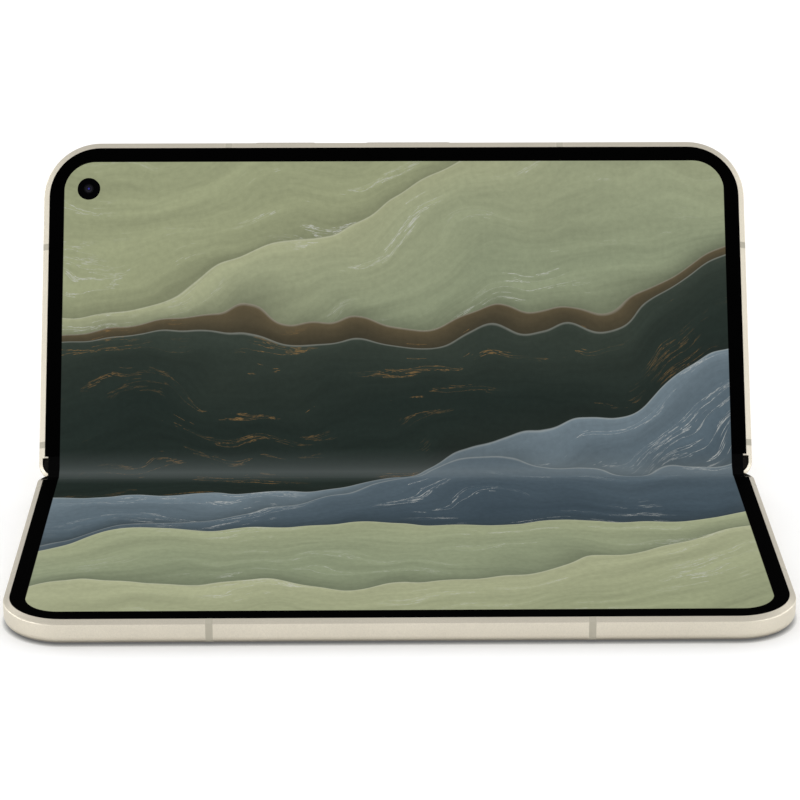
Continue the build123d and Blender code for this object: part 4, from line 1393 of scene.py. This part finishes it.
@dataclass
class Cameras(Part):
    """Front cameras, rear camera island, lenses and flash.

    Sizes are in millimetres on the half that carries the camera.
    """

    names: tuple[str, ...] = ("main", "wide", "tele")
    seats: tuple[float, ...] = (5.37, 4.57, 5.37)
    places: tuple[Pair, ...] = ((-60.5, 58.0), (-46.5, 58.0), (-32.5, 58.0))
    ring_wide: float = 0.6
    well_floor: float = -6.5
    well_deep: float = 0.25
    selfie_place: Triple = (-67.7, 64.54, -0.02)
    outer_selfie_place: Triple = (0.0, 67.0, -4.5)
    flash_place: Triple = (-24.8, 63.0, -7.0)
    front_reach: float = 0.8
    front_top: float = -0.05
    front_dome: Profile = (
        (0.0, -0.28), (0.78, -0.28), (0.78, -0.17), (0.62, -0.11),
        (0.4, -0.07), (0.2, -0.05), (0.0, -0.045),
    )
    front_retainer: Profile = (
        (0.8, -0.29), (1.06, -0.29), (1.06, -0.02), (1.02, -0.01),
        (0.98, -0.06), (0.9, -0.08), (0.86, -0.14), (0.8, -0.16),
    )
    rear_share: float = 0.72  # radius of a rear lens against its well
    rear_rise: float = 0.9  # its height against the well's depth
    rear_edge: float = 0.3
    rear_fall: float = 0.7
    rear_steps: tuple[float, ...] = (0.85, 0.65, 0.45, 0.25)
    ridge_count: int = 3
    ridge_play: float = 0.02
    ridge_top: Pair = (0.9, 0.22)  # height of the outermost ridge, and the fall to the next
    ridge_foot: Pair = (0.62, 0.2)
    barrel: Finish = Moulding(srgb(3, 3, 4), roughness=0.45, specular=0.01)
    island: Finish = BlastedMetal(srgb(216, 208, 190), roughness=0.3)
    ring: Finish = BlastedMetal(srgb(206, 198, 180), roughness=0.14, depth=5.0e-7)
    window: Finish = LensWindow(srgb(250, 250, 252), srgb(214, 220, 240))
    retainer: Finish = Moulding(srgb(12, 12, 14), roughness=0.4, specular=0.06)
    flash_rim: Colour = srgb(246, 238, 208)
    flash_heart: Colour = srgb(226, 196, 120)

    def build(self) -> None:
        """Dress the camera nodes and add the lenses."""
        modules = [f"camera_module_{name}" for name in self.names]
        barrel = self.barrel.build("barrel_black")
        self.dress(barrel, "selfie_camera", "outer_selfie_camera", *modules)
        self.dress(self.island.build("island_blasted"), "camera_island")
        ring = self.ring.build("ring_polished")
        self.dress(ring, *[f"lens_ring_{name}" for name in self.names])
        window = self.window.build("lens_window")
        self.dress(window, *[f"lens_glass_{name}" for name in self.names])
        flash_at = self.phone.lid.point(*(value * MM for value in self.flash_place))
        flash = RingedLens(self.flash_rim, self.flash_heart, flash_at)
        self.dress(flash.build("flash_diffuser"), "flash_lens")
        rim = self.retainer.build("lens_retainer")
        self._front_lens("selfie", "lid", self.selfie_place, 1.0, rim)
        self._front_lens("outer_selfie", "base", self.outer_selfie_place, -1.0, rim)
        for name, seat, place in zip(self.names, self.seats, self.places):
            self._rear_lens(name, (seat - self.ring_wide) / 2, place, rim)

    def _front_lens(
        self, name: str, body: str, place: Triple, facing: float, rim: bpy.types.Material
    ) -> None:
        """Domed lens in the well of a front camera, in a stepped retainer.

        Args:
            name: Stem of the pieces' names.
            body: Body that carries the camera.
            place: Middle of the camera's front face.
            facing: 1 where the camera looks out of the screen, -1 where it looks the other way.
            rim: Finish of the retainer.
        """
        half = self.phone.lid if body == "lid" else self.phone.base
        where = Matrix.Translation(Vector(place) * MM)
        turned = half.matrix() @ where @ Matrix.Diagonal((1, 1, facing, 1))
        top = turned @ Vector((0, 0, self.front_top * MM))
        coated = LensCoating(top, self.front_reach * MM).build(f"{name}_coating")
        self.add(lathe(f"{name}_lens", self.front_dome, turned, coated), body, "lens_glass")
        retainer = lathe(f"{name}_retainer", self.front_retainer, turned, rim)
        self.add(retainer, body, "camera_barrel")

    def _rear_lens(self, name: str, radius: float, place: Pair, rim: bpy.types.Material) -> None:
        """Domed first lens of a rear camera and the ridged baffle round it.

        Args:
            name: Stem of the pieces' names.
            radius: Radius of the well.
            place: Middle of the well.
            rim: Finish of the baffle.
        """
        where = Matrix.Translation(Vector((*place, self.well_floor)) * MM)
        turned = self.phone.lid.matrix() @ where @ Matrix.Diagonal((1, 1, -1, 1))
        wide = radius * self.rear_share
        high = self.well_deep * self.rear_rise
        dome = [(0.0, 0.0), (wide, 0.0), (wide, high * self.rear_edge)]
        for share in self.rear_steps:
            dome.append((wide * share, high * (1 - self.rear_fall * share**2)))
        dome.append((0.0, high))
        top = turned @ Vector((0, 0, high * MM))
        coated = LensCoating(top, wide * MM).build(f"{name}_coating")
        self.add(lathe(f"{name}_first_lens", dome, turned, coated), "lid", "lens_glass")
        inner, outer = wide + self.ridge_play, radius - self.ridge_play
        step = (outer - inner) / (self.ridge_count + 1)
        ridges = [(inner, 0.0), (outer, 0.0), (outer, high)]
        for index in range(self.ridge_count):
            for part, (first, fall) in ((0.5, self.ridge_top), (1.0, self.ridge_foot)):
                ridges.append((outer - step * (index + part), high * (first - fall * index)))
        self.add(lathe(f"{name}_baffle", ridges, turned, rim), "lid", "camera_barrel")


# ---- Studio ----------------------------------------------------------------------------------
@dataclass(frozen=True)
class Softbox:
    """Rectangular lamp that looks at the phone."""

    name: str
    place: Vector
    size: Pair
    power: float

    def build(self) -> None:
        """Make the lamp."""
        lamp = bpy.data.lights.new(self.name, "AREA")
        lamp.shape = "RECTANGLE"
        lamp.size, lamp.size_y = self.size
        lamp.energy = self.power
        made = bpy.data.objects.new(self.name, lamp)
        made.location = self.place
        made.rotation_euler = (-self.place).to_track_quat("-Z", "Y").to_euler()
        bpy.context.scene.collection.objects.link(made)


@dataclass(frozen=True)
class Camera:
    """Camera at the photograph's place, with its heading, tilt and roll."""

    place: Vector = Vector((-0.00669, -0.505670, 0.227386))
    yaw: float = math.radians(0.7857)
    pitch: float = math.radians(20.6337)
    roll: float = math.radians(0.0506)
    lens: float = 121.93
    film: float = 36.0
    nearest: float = 0.01

    def build(self) -> None:
        """Make the camera and use it."""
        data = bpy.data.cameras.new("camera")
        data.lens = self.lens
        data.sensor_width = self.film
        data.clip_start = self.nearest
        made = bpy.data.objects.new("camera", data)
        level = Vector((math.sin(self.yaw), math.cos(self.yaw), 0.0))
        ahead = level * math.cos(self.pitch) - Vector((0, 0, math.sin(self.pitch)))
        right = Vector((math.cos(self.yaw), -math.sin(self.yaw), 0.0))
        above = right.cross(ahead)
        turned = right * math.cos(self.roll) + above * math.sin(self.roll)
        above = above * math.cos(self.roll) - right * math.sin(self.roll)
        axes = (turned, above, -ahead, self.place)
        made.matrix_world = Matrix([[axis[i] for axis in axes] for i in range(3)] + [[0, 0, 0, 1]])
        bpy.context.scene.collection.objects.link(made)
        bpy.context.scene.camera = made


@dataclass
class Studio:
    """White floor, even light and the camera."""

    floor_size: float = 6.0
    floor_drop: float = 0.02 * MM
    floor_white: float = 0.93
    floor_glow: float = 0.12  # lifts the floor to white, also in reflections
    contact_reach: float = 1.2 * MM
    contact_power: float = 1.25  # deepens the painted contact shadow right beside the phone
    contact_samples: int = 8
    world_light: float = 0.95
    behind_light: float = 0.35  # how much stronger the light is from behind than from above
    ceiling: float = 0.74  # brightness overhead in reflections, against the white walls
    ceiling_rise: Pair = (0.35, 0.95)  # heights between which the wall turns into the ceiling
    rear_wall: float = 0.58  # brightness behind the phone in reflections
    rear_turn: Pair = (0.45, 0.85)
    boxes: tuple[Softbox, ...] = (
        Softbox("softbox_left", Vector((-0.95, 0.42, 0.44)), (0.6, 0.5), 1.7),
        Softbox("softbox_right", Vector((0.95, 0.42, 0.44)), (0.6, 0.5), 1.5),
        Softbox("strip_left", Vector((-0.91, -0.42, 0.06)), (0.9, 0.1), 1.5),
        Softbox("strip_right", Vector((0.91, -0.42, 0.06)), (0.9, 0.1), 1.3),
    )

    def build(self) -> None:
        """Build everything round the phone."""
        bpy.context.scene.view_settings.view_transform = "Standard"
        self._floor()
        self._world()
        for box in self.boxes:
            box.build()
        Camera().build()

    def _floor(self) -> None:
        """White floor that keeps the phone's shadow, with a painted contact shadow right beside it.
        """
        half = self.floor_size / 2
        shape = bmesh.new()
        corners = ((-half, -half), (half, -half), (half, half), (-half, half))
        shape.faces.new([shape.verts.new((x, y, -self.floor_drop)) for x, y in corners])
        material = bpy.data.materials.new("floor_white")
        material.use_nodes = True
        tree = Nodes(material.node_tree)
        # Painted contact shadow: occlusion darkens the floor's colour right beside the phone.
        near = tree.node("ShaderNodeAmbientOcclusion", samples=self.contact_samples)
        near.inputs["Distance"].default_value = self.contact_reach
        open_share = tree.math("POWER", near.outputs["AO"], self.contact_power)
        paint = tree.node("ShaderNodeBsdfDiffuse")
        tree.feed(paint.inputs["Color"], tree.math("MULTIPLY", open_share, self.floor_white))
        seen = tree.rays("Is Camera Ray", "Is Glossy Ray", "Is Transmission Ray")
        glow = tree.light("ShaderNodeEmission", tree.math("MULTIPLY", seen, self.floor_glow))
        both = tree.node("ShaderNodeAddShader")
        tree.feed(both.inputs[0], paint.outputs["BSDF"])
        tree.feed(both.inputs[1], glow)
        output = tree.node("ShaderNodeOutputMaterial")
        tree.feed(output.inputs["Surface"], both.outputs["Shader"])
        made = piece_from("floor", shape, material)

    def _world(self) -> None:
        """White surroundings; in reflections the ceiling and the rear are darker than the walls."""
        world = bpy.data.worlds.new("studio")
        world.use_nodes = True
        bpy.context.scene.world = world
        tree = Nodes(world.node_tree)
        split = tree.node("ShaderNodeSeparateXYZ")
        tree.feed(split.inputs[0], tree.node("ShaderNodeTexCoord").outputs["Generated"])
        rear, height = split.outputs["Y"], split.outputs["Z"]
        stronger = self.world_light * self.behind_light
        level = tree.math("MULTIPLY_ADD", rear, stronger, self.world_light)
        overhead = tree.span(height, self.ceiling_rise, (1.0, self.ceiling), "SMOOTHSTEP")
        behind = tree.span(rear, self.rear_turn, (1.0, self.rear_wall), "SMOOTHSTEP")
        kind = "ShaderNodeBackground"
        lit = tree.light(kind, level)
        mirrored = tree.light(kind, tree.math("MULTIPLY", overhead, behind))
        shown = tree.light(kind, 1.0)
        indirect = tree.mixed(tree.rays("Is Glossy Ray"), lit, mirrored)
        seen = tree.rays("Is Camera Ray", "Is Transmission Ray")
        output = tree.node("ShaderNodeOutputWorld")
        tree.feed(output.inputs["Surface"], tree.mixed(seen, indirect, shown))


def main() -> None:
    """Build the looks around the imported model."""
    logging.basicConfig(level=logging.INFO, format="%(message)s")
    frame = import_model()
    phone = Phone(frame["joints"])
    for kind in (Shell, InnerScreen, FoldZone, Hinge, Inside, Cameras):
        kind(phone, frame["nodes"]).build()
        log.info("built %s", kind.__name__)
    Studio().build()


if __name__ == "__main__":
    main()
